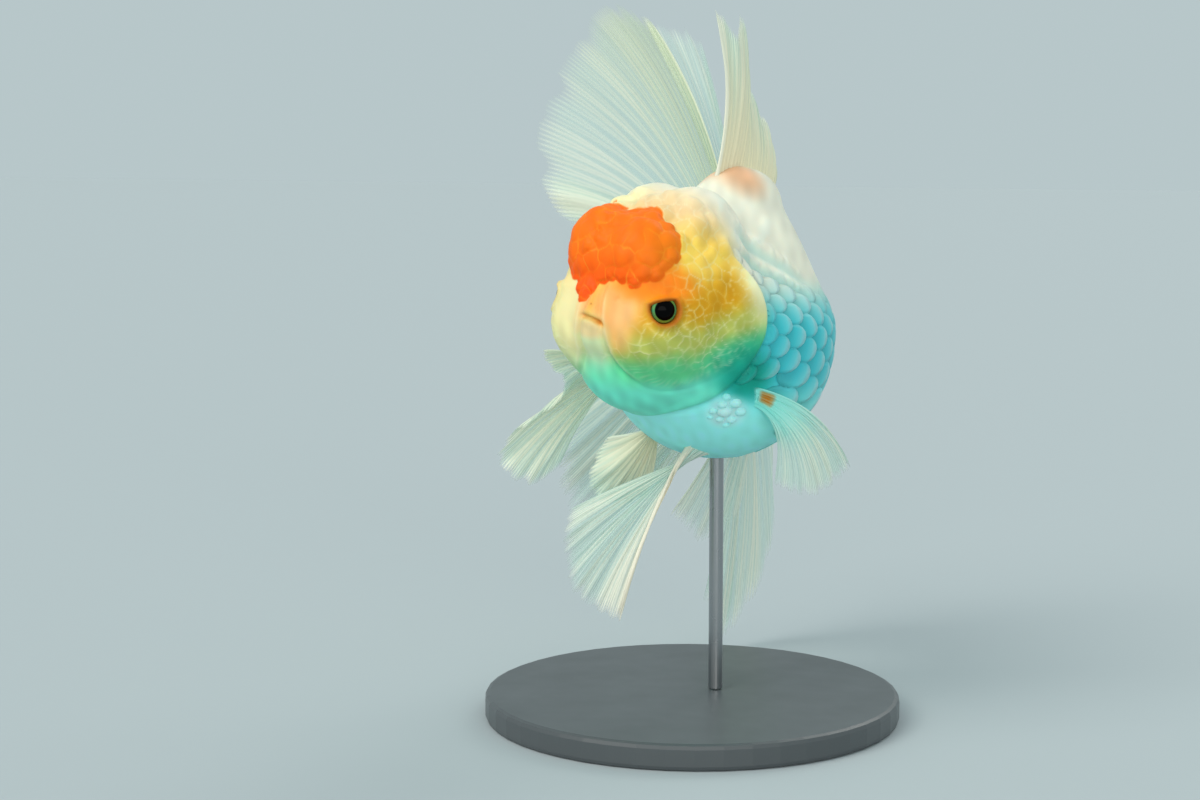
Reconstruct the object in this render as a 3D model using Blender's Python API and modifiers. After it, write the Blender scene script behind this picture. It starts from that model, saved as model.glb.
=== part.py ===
"""A red-cap oranda goldfish, life size, held over a round base by a rod.

The fish is designed straight and symmetric, in millimetres, in body coordinates (s, y, z): s runs back from the
lips, y to the fish's left and z up. bend() curves that body sideways along its spine, rolls and pitches it, and
lifts it over the stand. The flesh is one smooth blend of a trunk and rounded lobes, read along rays that leave the
head's centre and then the spine, and it is parted into its nodes with thin cuts. Every fin is a fan of bent rays.
World axes: +Z up, the trunk faces -Y, and the origin is under the base's centre.
"""

import math

import bmesh
import bpy
import numpy as np

MM = 0.001
GAP = 0.35  # between neighbouring solids

# Spine: heading in degrees at each s; a fall in heading turns the body to the fish's right.
HEADINGS = ((32.0, 17.0), (55.0, 12.0), (84.0, -2.0), (104.0, -34.0), (122.0, -64.0))
ROLL, PITCH = 5.0, 3.0
PIVOT = (-8.0, 62.0, 0.0)  # the point of the spine that stands over the base's centre
LIFT = 130.0  # its height over the floor

# Head and trunk
HEAD_S = 30.0  # where the head's rays start
NECK_CUT, STEM_CUT, BODY_END = 50.0, 101.0, 123.0
NECK_LEAN, LEAN_END = 35.0, 74.0  # the neck's cut leans forward below the spine by this, easing out by LEAN_END
WEN_CUT = 13.0  # the wen is the part of the head above this height
GILL_S, GILL_Y, GILL_Z = 33.0, 19.5, (-27.0, 20.0)  # the gill covers are behind, outside and between these
HEAD_ROWS, COLUMNS, STEM_COLUMNS = 17, 36, 24
SIDES = {1: "left", -1: "right"}
TRUNK = (  # s, half width, top, bottom
    (22.0, 18.0, 16.0, -24.0),
    (40.0, 27.0, 30.0, -40.0),
    (55.0, 33.0, 40.0, -46.5),
    (70.0, 34.0, 41.0, -46.5),
    (86.0, 27.0, 35.0, -37.0),
    (98.0, 17.0, 24.0, -24.0),
    (112.0, 9.0, 14.0, -10.0),
    (124.0, 5.0, 12.0, -7.0),
)
BACK_TAPER, BELLY_TAPER = 0.55, -0.20  # how much narrower the section gets towards the back and the belly
BLEND = 1.8  # softness of the creases between lobes

# Lobes: centre and radii in body coordinates; those with y > 0 have a twin on the right.
LOBES = {
    "skull": ((29.0, 0.0, 0.0), (24.5, 25.5, 28.0)),
    "crown": ((35.0, 7.0, 16.0), (18.0, 14.5, 20.0)),
    "cap": ((15.5, 6.5, 14.0), (12.0, 11.0, 12.0)),
    "brow": ((24.0, 12.5, 6.0), (14.0, 10.5, 13.0)),
    "cheek": ((21.5, 11.5, -6.0), (18.0, 13.0, 14.5)),
    "gill_cover": ((38.5, 16.0, -2.5), (14.5, 15.0, 19.5)),
    "muzzle": ((8.5, 0.0, -2.5), (7.5, 7.5, 7.5)),
    "jaw": ((9.0, 0.0, -8.5), (7.5, 7.0, 6.0)),
    "throat": ((26.0, 0.0, -17.0), (18.5, 17.5, 15.0)),
    "hump": ((70.0, 0.0, 34.0), (17.0, 9.5, 8.5)),
}

# Eyes
EYE_S, EYE_Y, EYE_Z, EYE_RADIUS = 12.3, 16.4, 0.5, 5.3
EYE_GAP = 0.3

# Fins: a root line in body coordinates, rays from the leading to the trailing one (heading, rise, length), the
# sideways bow of the rays (heading, rise, size) and the folds (count, depth, phase).
FIN_THICKNESS = 0.6
FIN_GRID = (13, 6)
FINS = {
    "dorsal_fin": {
        "root": ((52, 0, 36), (87, 0, 31)),
        "rays": ((-19, 77, 55), (-10, 72, 57), (-24, 64, 51), (-22, 54, 39), (-12, 50, 24)),
        "bow": (66, 0, 3.5),
        "folds": (1.5, 1.0, 0.0),
    },
    "tail_fin_upper_right": {
        "root": ((116, -1.5, 9), (121, -2.6, 3)),
        "rays": ((-69, 64, 93), (-79, 60, 103), (-90, 51, 95), (-105, 28, 71), (-105, 8, 28)),
        "bow": (30, 40, 7.5),
        "folds": (2.5, 2.0, 0.1),
    },
    "tail_fin_upper_left": {
        "root": ((116, 1.5, 9), (121, 2.6, 3)),
        "rays": ((-57, 54, 106), (-41, 52, 106), (-31, 45, 102), (-27, 30, 94), (-22, 4, 58)),
        "bow": (30, 40, 4.0),
        "folds": (2.5, 2.0, 0.4),
    },
    "tail_fin_lower_left": {
        "root": ((121, 2.8, 1), (117, 2.6, -5)),
        "rays": ((-16, -14, 54), (-8, -42, 84), (-14, -64, 121), (-30, -73, 126), (-42, -72, 109)),
        "bow": (60, 0, 3.0),
        "folds": (2.5, 2.0, 0.2),
    },
    "tail_fin_lower_right": {
        "root": ((121, -2.8, 1), (117, -2.6, -5)),
        "rays": ((-112, -12, 42), (-116, -40, 72), (-112, -52, 86), (-102, -60, 80), (-88, -65, 72)),
        "bow": (60, 0, 2.0),
        "folds": (2.0, 1.5, 0.2),
    },
    "anal_fin_left": {
        "root": ((91, 3.5, -24), (99, 3.5, -17)),
        "rays": ((-99, -58, 53), (-95, -64, 57), (-86, -72, 63), (-45, -73, 57)),
        "bow": (0, 0, 2.0),
        "folds": (1.5, 1.2, 0.2),
    },
    "anal_fin_right": {
        "root": ((91, -3.5, -24), (99, -3.5, -17)),
        "rays": ((-110, -42, 46), (-107, -49, 50), (-103, -56, 52), (-98, -60, 48)),
        "bow": (0, 0, 2.0),
        "folds": (1.5, 1.0, 0.2),
    },
    "pelvic_fin_left": {
        "root": ((46, 6, -40.5), (55, 12, -42)),
        "rays": ((-118, -69, 59), (-116, -51, 60), (-113, -38, 57), (-111, -22, 51)),
        "bow": (80, -20, -2.0),
        "folds": (2.5, 1.5, 0.2),
    },
    "pelvic_fin_right": {
        "root": ((51, -11, -38.5), (59, -15.5, -39)),
        "rays": ((-98, -14, 16), (-108, -44, 29), (-99, -58, 29), (-84, -70, 27), (-52, -72, 25)),
        "bow": (80, -20, 1.0),
        "folds": (1.5, 1.0, 0.2),
    },
    "pectoral_fin_left": {
        "root": ((44.5, 27.5, -20.5), (47, 26.5, -26.5)),
        "rays": ((42, -38, 41), (46, -44, 40), (48, -58, 35), (49, -74, 25)),
        "bow": (66, 45, 5.0),
        "folds": (1.5, 1.2, 0.2),
    },
    "pectoral_fin_right": {
        "root": ((44.5, -27.5, -20.5), (47, -26.5, -26.5)),
        "rays": ((-135, 12, 21), (-142, -20, 17), (-138, -30, 32), (-131, -36, 44), (-128, -50, 43), (-122, -59, 32)),
        "bow": (-66, 30, 2.0),
        "folds": (2.0, 1.5, 0.2),
    },
}

# Stand
BASE_RADIUS, BASE_HEIGHT, BASE_BEVEL = 65.0, 8.0, 1.5
ROD_RADIUS, ROD_S = 2.2, 68.0

FINISHES = {  # by the start of a node's name: base colour, roughness, metallic
    "head": ((0.93, 0.74, 0.38), 0.45, 0.0),
    "wen": ((0.95, 0.33, 0.05), 0.5, 0.0),
    "gill_cover": ((0.80, 0.86, 0.45), 0.4, 0.0),
    "eye": ((0.02, 0.02, 0.02), 0.08, 0.0),
    "trunk": ((0.86, 0.90, 0.86), 0.35, 0.0),
    "tail_stem": ((0.86, 0.90, 0.86), 0.35, 0.0),
    "dorsal": ((0.90, 0.90, 0.80), 0.4, 0.0),
    "tail_fin": ((0.86, 0.92, 0.86), 0.4, 0.0),
    "anal": ((0.80, 0.92, 0.90), 0.4, 0.0),
    "pelvic": ((0.92, 0.90, 0.78), 0.4, 0.0),
    "pectoral": ((0.78, 0.92, 0.90), 0.4, 0.0),
    "stand_base": ((0.16, 0.17, 0.18), 0.4, 0.0),
    "stand_rod": ((0.55, 0.57, 0.58), 0.25, 1.0),
}


# ---------------------------------------------------------------- body shape


def smooth_table(x, xs, ys):
    """Cubic Hermite through the table's points, with slopes from their neighbours."""
    xs, ys = np.asarray(xs, float), np.asarray(ys, float)
    slope = np.gradient(ys, xs)
    x = np.clip(x, xs[0], xs[-1])
    i = np.clip(np.searchsorted(xs, x) - 1, 0, len(xs) - 2)
    h = xs[i + 1] - xs[i]
    t = (x - xs[i]) / h
    return (
        (2 * t**3 - 3 * t**2 + 1) * ys[i]
        + (t**3 - 2 * t**2 + t) * h * slope[i]
        + (3 * t**2 - 2 * t**3) * ys[i + 1]
        + (t**3 - t**2) * h * slope[i + 1]
    )


def trunk_distance(p):
    """Roughly the distance outside the trunk: an egg-shaped section, narrower above than below."""
    s, y, z = p[..., 0], p[..., 1], p[..., 2]
    stations = np.array(TRUNK)
    width, top, bottom = (smooth_table(s, stations[:, 0], stations[:, k]) for k in (1, 2, 3))
    middle, half = (top + bottom) / 2, (top - bottom) / 2
    zeta = (z - middle) / half
    taper = np.where(zeta > 0, 1 - BACK_TAPER * zeta, 1 + BELLY_TAPER * zeta)
    ratio = np.hypot(y / (width * np.clip(taper, 0.3, 2)), zeta)
    before = np.clip(stations[0, 0] - s, 0, None)
    return (ratio - 1) * np.minimum(width, half) + before


def lobe_distance(p, centre, radii):
    """Roughly the distance outside an ellipsoid."""
    q = (p - np.array(centre)) / np.array(radii)
    k0 = np.linalg.norm(q, axis=-1)
    k1 = np.linalg.norm(q / np.array(radii), axis=-1)
    return k0 * (k0 - 1) / np.maximum(k1, 1e-9)


def body_distance(p):
    """Smooth union of the trunk and every lobe."""
    total = np.exp(-trunk_distance(p) / BLEND)
    mirrored = p * np.array([1.0, -1.0, 1.0])
    for centre, radii in LOBES.values():
        total += np.exp(-np.clip(lobe_distance(p, centre, radii), -40, 40) / BLEND)
        if centre[1]:
            total += np.exp(-np.clip(lobe_distance(mirrored, centre, radii), -40, 40) / BLEND)
    return -BLEND * np.log(total)


def outermost(origin, direction, reach=62.0, steps=62, offset=0.0):
    """The last point on each ray that lies on the body's surface, grown by offset."""
    inside = np.zeros(direction.shape[:-1])
    step = reach / steps
    for k in range(steps):
        t = k * step
        held = body_distance(origin + direction * t) < offset
        inside = np.where(held, t, inside)
    low, high = inside, inside + step
    for _ in range(12):
        middle = (low + high) / 2
        held = body_distance(origin + direction * middle[..., None]) < offset
        low, high = np.where(held, middle, low), np.where(held, high, middle)
    return origin + direction * low[..., None]


def neck_lean(around):
    """How far, in radians, the neck's cut leans forward below the spine at each angle round it."""
    return math.radians(NECK_LEAN) * np.clip(-np.cos(around), 0, None) ** 1.8


def rays(head_rows, stations, columns):
    """Ray origins and directions. Head rays turn from straight ahead to the neck's lean about the head's centre;
    the rest leave the spine sideways. The angle round the spine starts at the back and runs left."""
    s = np.concatenate([np.full(head_rows, HEAD_S), stations])[:, None]
    share = np.concatenate([np.linspace(0, 1, head_rows, endpoint=False), np.ones(len(stations))])[:, None]
    around = np.linspace(0.0, 2 * math.pi, columns, endpoint=False)[None, :]
    fade = np.clip((LEAN_END - s) / (LEAN_END - NECK_CUT), 0, 1)
    lean = share * (math.pi / 2 - neck_lean(around) * fade)
    around = around + 0 * lean
    side = np.sin(lean)
    direction = np.stack([-np.cos(lean), side * np.sin(around), side * np.cos(around)], -1)
    origin = np.zeros_like(direction)
    origin[..., 0] = s
    return origin, direction


# ---------------------------------------------------------------- pose


def spine():
    """Spine points and headings at every half millimetre, curved in the horizontal plane."""
    s = np.arange(-40.0, 330.0, 0.5)
    heading = np.radians(smooth_table(s, *zip(*HEADINGS)))
    x, y = (np.concatenate([[0], np.cumsum(f(heading)[:-1] * 0.5)]) for f in (np.sin, np.cos))
    start = np.searchsorted(s, 0.0)
    return s, x - x[start], y - y[start], heading


SPINE = spine()


def turned(v):
    """Rolls a vector, left side down, and pitches it, nose up."""
    roll, pitch = math.radians(ROLL), math.radians(PITCH)
    x = v[..., 0] * math.cos(roll) + v[..., 2] * math.sin(roll)
    z = -v[..., 0] * math.sin(roll) + v[..., 2] * math.cos(roll)
    y = v[..., 1] * math.cos(pitch) + z * math.sin(pitch)
    z = -v[..., 1] * math.sin(pitch) + z * math.cos(pitch)
    return np.stack([x, y, z], -1)


def bend(p):
    """Body coordinates to world metres."""
    s, y, z = p[..., 0], p[..., 1], p[..., 2]
    line, cx, cy, heading = SPINE
    a = np.interp(s, line, heading)
    x = np.interp(s, line, cx) + y * np.cos(a)
    back = np.interp(s, line, cy) - y * np.sin(a)
    pivot = np.array([np.interp(PIVOT[1], line, cx) + PIVOT[0], np.interp(PIVOT[1], line, cy), 0.0])
    world = turned(np.stack([x, back, z], -1) - pivot)
    return (world + np.array([0.0, 0.0, LIFT])) * MM


# ---------------------------------------------------------------- Blender helpers


def collection(name):
    made = bpy.data.collections.new(name)
    bpy.context.scene.collection.children.link(made)
    return made


def material(name):
    """A node's own material, in the finish that its name starts with."""
    finish = next(key for key in FINISHES if name.startswith(key))
    colour, roughness, metallic = FINISHES[finish]
    made = bpy.data.materials.new(name)
    made.use_nodes = True
    shader = made.node_tree.nodes["Principled BSDF"]
    shader.inputs["Base Color"].default_value = (*colour, 1.0)
    shader.inputs["Roughness"].default_value = roughness
    shader.inputs["Metallic"].default_value = metallic
    return made


def finish(obj, name, into):
    """Names a part, gives it its material and puts it in its collection."""
    obj.name = name
    obj.data.name = name
    obj.data.shade_smooth()
    obj.data.set_sharp_from_angle(angle=math.radians(40))
    obj.data.materials.append(material(name))
    for held in list(obj.users_collection):
        held.objects.unlink(obj)
    into.objects.link(obj)
    return obj


def cutter(obj, name, into):
    """Names a cutting shape and hides it."""
    obj.name = name
    obj.hide_render = True
    obj.display_type = "WIRE"
    for held in list(obj.users_collection):
        held.objects.unlink(obj)
    into.objects.link(obj)
    return obj


def boolean(target, tool, operation="DIFFERENCE"):
    cut = target.modifiers.new(tool.name, "BOOLEAN")
    cut.object = tool
    cut.operation = operation
    cut.solver = "EXACT"


# ---------------------------------------------------------------- flesh


def body_mesh(head_rows, stations, columns, offset=0.0):
    """A closed length of the body in body coordinates. Without head rows it starts at a cut."""
    origin, direction = rays(head_rows, np.asarray(stations, float), columns)
    points = outermost(origin, direction, offset=offset)
    rows = points.shape[0]
    work = bmesh.new()
    grid = [[work.verts.new(points[r, c]) for c in range(columns)] for r in range(rows)]
    for r in range(rows - 1):
        for c in range(columns):
            n = (c + 1) % columns
            if r == 0 and head_rows:
                continue
            work.faces.new((grid[r][c], grid[r + 1][c], grid[r + 1][n], grid[r][n]))
    first = work.verts.new(points[0].mean(0) if head_rows else (stations[0], 0, 0))
    last = work.verts.new((stations[-1], 0, 0))
    if head_rows:
        for v in grid[0]:
            work.verts.remove(v)
    for c in range(columns):
        n = (c + 1) % columns
        start = 1 if head_rows else 0
        work.faces.new((first, grid[start][c], grid[start][n]))
        work.faces.new((last, grid[-1][n], grid[-1][c]))
    return work


def sliced(work, height, keep_above):
    """Cuts a body mesh at a height and closes the cut."""
    cut = bmesh.ops.bisect_plane(
        work,
        geom=work.verts[:] + work.edges[:] + work.faces[:],
        plane_co=(0, 0, height),
        plane_no=(0, 0, 1),
        clear_inner=keep_above,
        clear_outer=not keep_above,
    )
    edges = [item for item in cut["geom_cut"] if isinstance(item, bmesh.types.BMEdge)]
    bmesh.ops.contextual_create(work, geom=edges)
    return work


def placed(work):
    """Bends a body mesh into the world and makes it an object."""
    points = bend(np.array([v.co[:] for v in work.verts]))
    for vert, point in zip(work.verts, points):
        vert.co = point
    bmesh.ops.recalc_face_normals(work, faces=work.faces)
    if work.calc_volume(signed=True) < 0:
        bmesh.ops.reverse_faces(work, faces=work.faces)
    mesh = bpy.data.meshes.new("flesh")
    work.to_mesh(mesh)
    work.free()
    return bpy.data.objects.new("flesh", mesh)


def gill_box(side, grow, cutters):
    """The block of the head that is the gill cover, grown by a gap for the head's own cut."""
    low = np.array([GILL_S - grow, GILL_Y - grow, GILL_Z[0] - grow])
    high = np.array([GILL_S + 34, GILL_Y + 30, GILL_Z[1]])
    work = bmesh.new()
    bmesh.ops.create_cube(work, size=1.0)
    for vert in work.verts:
        vert.co = (low + high) / 2 + np.array(vert.co) * (high - low)
        vert.co.y *= side
    return cutter(placed(work), f"gill_box_{SIDES[side]}_{'gap' if grow else 'solid'}", cutters)


def ball(centre, radius, segments, rings):
    """A sphere whose poles lie across the body."""
    bpy.ops.mesh.primitive_uv_sphere_add(
        segments=segments, ring_count=rings, radius=radius * MM, location=bend(np.array(centre, float)).tolist()
    )
    return bpy.context.object


def make_flesh(parts, cutters):
    head_stations = np.linspace(HEAD_S, NECK_CUT, 7)
    lower = sliced(body_mesh(HEAD_ROWS, head_stations, COLUMNS), WEN_CUT - GAP / 2, False)
    upper = sliced(body_mesh(HEAD_ROWS, head_stations, COLUMNS), WEN_CUT + GAP / 2, True)
    finish(placed(upper), "wen", parts)
    head = finish(placed(lower), "head", parts)
    for side, word in SIDES.items():
        cover = head.copy()
        cover.data = head.data.copy()
        cover.data.materials.clear()
        cover.modifiers.clear()
        boolean(cover, gill_box(side, 0.0, cutters), "INTERSECT")
        finish(cover, f"gill_cover_{word}", parts)
    for side, word in SIDES.items():
        boolean(head, gill_box(side, GAP, cutters))
        centre = (EYE_S, side * EYE_Y, EYE_Z)
        boolean(head, cutter(ball(centre, EYE_RADIUS + EYE_GAP, 14, 9), f"eye_socket_{word}", cutters))
        finish(ball(centre, EYE_RADIUS, 14, 9), f"eye_{word}", parts)
    trunk = body_mesh(0, np.linspace(NECK_CUT + GAP, STEM_CUT, 11), COLUMNS)
    finish(placed(trunk), "trunk", parts)
    stem = body_mesh(0, np.linspace(STEM_CUT + GAP, BODY_END, 6), STEM_COLUMNS)
    finish(placed(stem), "tail_stem", parts)


# ---------------------------------------------------------------- fins


def aim(heading, rise):
    """World direction from a heading, 0 straight back and positive to the left, and a rise, in degrees."""
    h, r = np.radians(heading), np.radians(rise)
    return np.stack([np.sin(h) * np.cos(r), np.cos(h) * np.cos(r), np.sin(r)], -1)


def fin_sheet(fin, across, along):
    """Points of a fin, in millimetres of the world. Ray directions and lengths flow smoothly from the leading to
    the trailing ray; each ray bows sideways in its middle, and the sheet folds more towards its edge."""
    u = np.linspace(0, 1, across)[:, None]
    t = np.linspace(0, 1, along)[None, :]
    root = np.stack([np.interp(u[:, 0], [0, 1], pair) for pair in zip(*fin["root"])], -1)
    root = bend(root) / MM
    knots = np.linspace(0, 1, len(fin["rays"]))
    heading, rise, length = (smooth_table(u[:, 0], knots, column) for column in zip(*fin["rays"]))
    way = aim(heading, rise)[:, None, :]
    count, depth, phase = fin["folds"]
    bow_heading, bow_rise, bow = fin["bow"]
    points = root[:, None, :] + way * (length[:, None] * t)[..., None]
    points = points + aim(bow_heading, bow_rise) * (bow * 4 * t * (1 - t))[..., None]
    spread = np.gradient(points, axis=0)
    normal = np.cross(spread, way + 0 * points)
    normal = normal / np.maximum(np.linalg.norm(normal, axis=-1, keepdims=True), 1e-9)
    fold = depth * np.sin(2 * math.pi * (count * u + phase)) * t**1.5
    return points + normal * fold[..., None]


def make_fin(name, fin, body, parts):
    across, along = FIN_GRID
    points = fin_sheet(fin, across, along) * MM
    mesh = bpy.data.meshes.new(name)
    faces = [
        (a * along + b, (a + 1) * along + b, (a + 1) * along + b + 1, a * along + b + 1)
        for a in range(across - 1)
        for b in range(along - 1)
    ]
    mesh.from_pydata(points.reshape(-1, 3).tolist(), [], faces)
    made = bpy.data.objects.new(name, mesh)
    shell = made.modifiers.new("thickness", "SOLIDIFY")
    shell.thickness = FIN_THICKNESS * MM
    shell.offset = 0.0
    boolean(made, body)
    return finish(made, name, parts)


# ---------------------------------------------------------------- stand


def make_stand(body, parts):
    bpy.ops.mesh.primitive_cylinder_add(
        vertices=48, radius=BASE_RADIUS * MM, depth=BASE_HEIGHT * MM, location=(0, 0, BASE_HEIGHT * MM / 2)
    )
    base = bpy.context.object
    edge = base.modifiers.new("rounded_edge", "BEVEL")
    edge.width = BASE_BEVEL * MM
    edge.segments = 2
    edge.limit_method = "ANGLE"
    finish(base, "stand_base", parts)
    foot = (BASE_HEIGHT + GAP) * MM
    top = bend(np.array([ROD_S, 0.0, -30.0]))
    bpy.ops.mesh.primitive_cylinder_add(
        vertices=20, radius=ROD_RADIUS * MM, depth=top[2] - foot, location=(top[0], top[1], (top[2] + foot) / 2)
    )
    rod = bpy.context.object
    boolean(rod, body)
    finish(rod, "stand_rod", parts)


# ---------------------------------------------------------------- build


def main():
    for obj in list(bpy.data.objects):
        bpy.data.objects.remove(obj)
    parts = collection("oranda_goldfish")
    cutters = collection("cutters")
    make_flesh(parts, cutters)
    stations = np.concatenate([np.linspace(HEAD_S, BODY_END + GAP, 26)])
    body = cutter(placed(body_mesh(HEAD_ROWS, stations, COLUMNS, offset=GAP)), "grown_body", cutters)
    for name, fin in FINS.items():
        make_fin(name, fin, body, parts)
    make_stand(body, parts)


main()
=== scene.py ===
"""Looks of a red-cap oranda goldfish on a stand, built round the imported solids.

The fish is designed straight and symmetric, in millimetres, in body coordinates (s, y, z): s runs back from
the lips, y to the fish's left and z up. bend() curves that body along its spine and puts it in the world, in
metres. One skin replaces the flesh, with cobbled growth on the head, folds, lips and eyelids. Scales are thin
solid plates on the flanks, and each fin is a ragged sheet ridged by forking rays.
"""

import functools
import math

import bpy
import numpy as np
from bpy.props import FloatProperty, FloatVectorProperty, IntProperty, PointerProperty
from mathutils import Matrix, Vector


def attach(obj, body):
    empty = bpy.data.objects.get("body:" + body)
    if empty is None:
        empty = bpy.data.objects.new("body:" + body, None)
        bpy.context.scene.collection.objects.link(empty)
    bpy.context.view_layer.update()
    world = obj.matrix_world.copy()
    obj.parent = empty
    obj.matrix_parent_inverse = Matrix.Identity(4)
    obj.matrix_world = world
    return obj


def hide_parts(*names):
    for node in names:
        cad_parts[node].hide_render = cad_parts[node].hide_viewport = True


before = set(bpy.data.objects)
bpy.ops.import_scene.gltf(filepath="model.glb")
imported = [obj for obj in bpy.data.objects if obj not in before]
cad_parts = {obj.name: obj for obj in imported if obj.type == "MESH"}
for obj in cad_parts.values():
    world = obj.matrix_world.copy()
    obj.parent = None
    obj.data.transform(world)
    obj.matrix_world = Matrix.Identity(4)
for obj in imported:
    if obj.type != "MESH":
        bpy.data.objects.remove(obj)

bl_info = {
    "name": "Red-cap oranda goldfish",
    "version": (1, 0, 0),
    "blender": (4, 5, 0),
    "location": "View3D > Sidebar > Goldfish",
    "description": "Skin, scales, eyes and fins of a goldfish on a stand",
    "category": "Add Mesh",
}

MM = 0.001

# Spine: heading in degrees at each s; a fall in heading turns the body to the fish's right.
HEADINGS = ((32.0, 17.0), (55.0, 12.0), (84.0, -2.0), (104.0, -34.0), (122.0, -64.0))
ROLL, PITCH = 5.0, 3.0
PIVOT = (-8.0, 62.0, 0.0)  # the point of the spine that stands over the base's centre
LIFT = 130.0  # its height over the floor

# Head and trunk
HEAD_S = 30.0  # where the head's rays start
NECK_CUT, BODY_END = 50.0, 123.0
NECK_LEAN, LEAN_END = 35.0, 74.0  # rays lean forward below the spine by this, easing out by LEAN_END
TRUNK = (  # s, half width, top, bottom
    (22.0, 18.0, 16.0, -24.0),
    (40.0, 27.0, 30.0, -40.0),
    (55.0, 33.0, 40.0, -46.5),
    (70.0, 34.0, 41.0, -46.5),
    (86.0, 27.0, 35.0, -37.0),
    (98.0, 17.0, 24.0, -24.0),
    (112.0, 9.0, 14.0, -10.0),
    (124.0, 5.0, 12.0, -7.0),
)
BACK_TAPER, BELLY_TAPER = 0.55, -0.20
BLEND = 1.8  # softness of the creases between lobes
NEAR_ROWS, NEAR_END = 0.6, 66.0  # share of the trunk's rows before this station
COARSE, SLACK = 5, 1.2  # the surface is first sought on every fifth row and column, then this far about it
FARTHEST = 62.0  # no surface is farther than this from its ray's start
TAIL_ROUND = 6.0  # length of the rounded end

# Lobes: centre and radii in body coordinates; those with y > 0 have a twin on the right.
LOBES = {
    "skull": ((29.0, 0.0, 0.0), (24.5, 25.5, 28.0)),
    "crown": ((35.0, 7.0, 16.0), (18.0, 14.5, 20.0)),
    "cap": ((15.5, 6.5, 14.0), (12.0, 11.0, 12.0)),
    "brow": ((24.0, 12.5, 6.0), (14.0, 10.5, 13.0)),
    "cheek": ((21.5, 11.5, -6.0), (18.0, 13.0, 14.5)),
    "gill_cover": ((38.5, 16.0, -2.5), (14.5, 15.0, 19.5)),
    "muzzle": ((8.5, 0.0, -2.5), (7.5, 7.5, 7.5)),
    "jaw": ((9.0, 0.0, -8.5), (7.5, 7.0, 6.0)),
    "throat": ((26.0, 0.0, -17.0), (18.5, 17.5, 15.0)),
    "hump": ((70.0, 0.0, 34.0), (17.0, 9.5, 8.5)),
}

# Eyes
EYE = (12.3, 16.4, 0.5)  # centre of the left ball
EYE_AXIS = (-0.555, 0.831, 0.03)
EYE_RADIUS = 5.3
PUPIL_ANGLE, IRIS_ANGLE = 34.5, 45.0
EYE_HOLE = 3.75  # radius of the skin's opening
CORNEA = 0.35  # how far the front swells
PUPIL_COLOUR = (0.012, 0.012, 0.014)
LID_WAY = (-0.35, 0.0, 0.94)  # the upper lid's side of the eye
LID_EDGE = 1.9  # distance of the lid's straight edge from the middle
RIGHT_BROW = (8.0, -13.8, 3.0)  # a swelling in front of the right eye

# Marks of the head, in body coordinates of the left side
GILL_RIM = ((20.0, 27.0), (51.0, 36.0), (85.0, 45.5), (124.0, 38.5), (168.0, 29.5), (180.0, 29.0))  # angle, s
CHEEK_PAD = ((17.0, 20.0, -1.0), 22.4)  # centre and radius of a ball whose edge on the skin bounds the pad
CAP_PADS = (  # centre and radii in degrees to the left and up from straight ahead of the head's centre
    ((-21.5, 42.0), (16.0, 32.0)),
    ((5.0, 57.0), (21.0, 15.0)),
    ((19.0, 38.0), (27.5, 24.5)),
    ((-9.5, 17.0), (11.5, 15.5)),
    ((0.0, 26.0), (13.0, 13.5)),
)
CAP_NOTCH = ((-18.0, 78.0), (10.5, 13.5))  # the gap between its two upper lobes, in the same degrees
CAP_SWELL = ((14.0, -11.5, 20.5), 7.5, 2.6)  # its upper right lobe: middle, width, height
MOUTH_Z, MOUTH_TILT = -4.0, 0.17  # height and slope of the mouth's slit
MOUTH_DROP, MOUTH_HALF, MOUTH_Y = 0.7, 4.6, 0.4  # droop of its ends, its half width and its middle
NOSTRIL = (7.2, 2.0)  # y, z
FLANK_FOLD = (35.0, 20.5, -0.515, 64.0)  # start s, its z, slope and end s
PEARLS = ((40.5, 22.5, -29.3), 5.5)  # a cluster of white bumps in front of the pectoral fin

# Skin and scales
SKIN_DEPTH = 0.15  # how far the skin lies inside the bare body
SCALES_FROM = NECK_CUT - 18.0  # station of the first ring
LEAST_PITCH = 2.7
SCALE_BORDER = ((55.0, -2.0), (75.0, 9.0), (95.0, 20.0), (120.0, 60.0))  # s, height over the fold's line
SCALE_SIDE = 5  # squares along a side of the grid of a plate
SCALE_LENGTH, SCALE_WIDTH = 0.92, 0.56  # half sizes of a plate over its ring's pitch and spacing round
BAKE_PATCH = 0.003  # width of a plate's patch in its UV map

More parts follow.
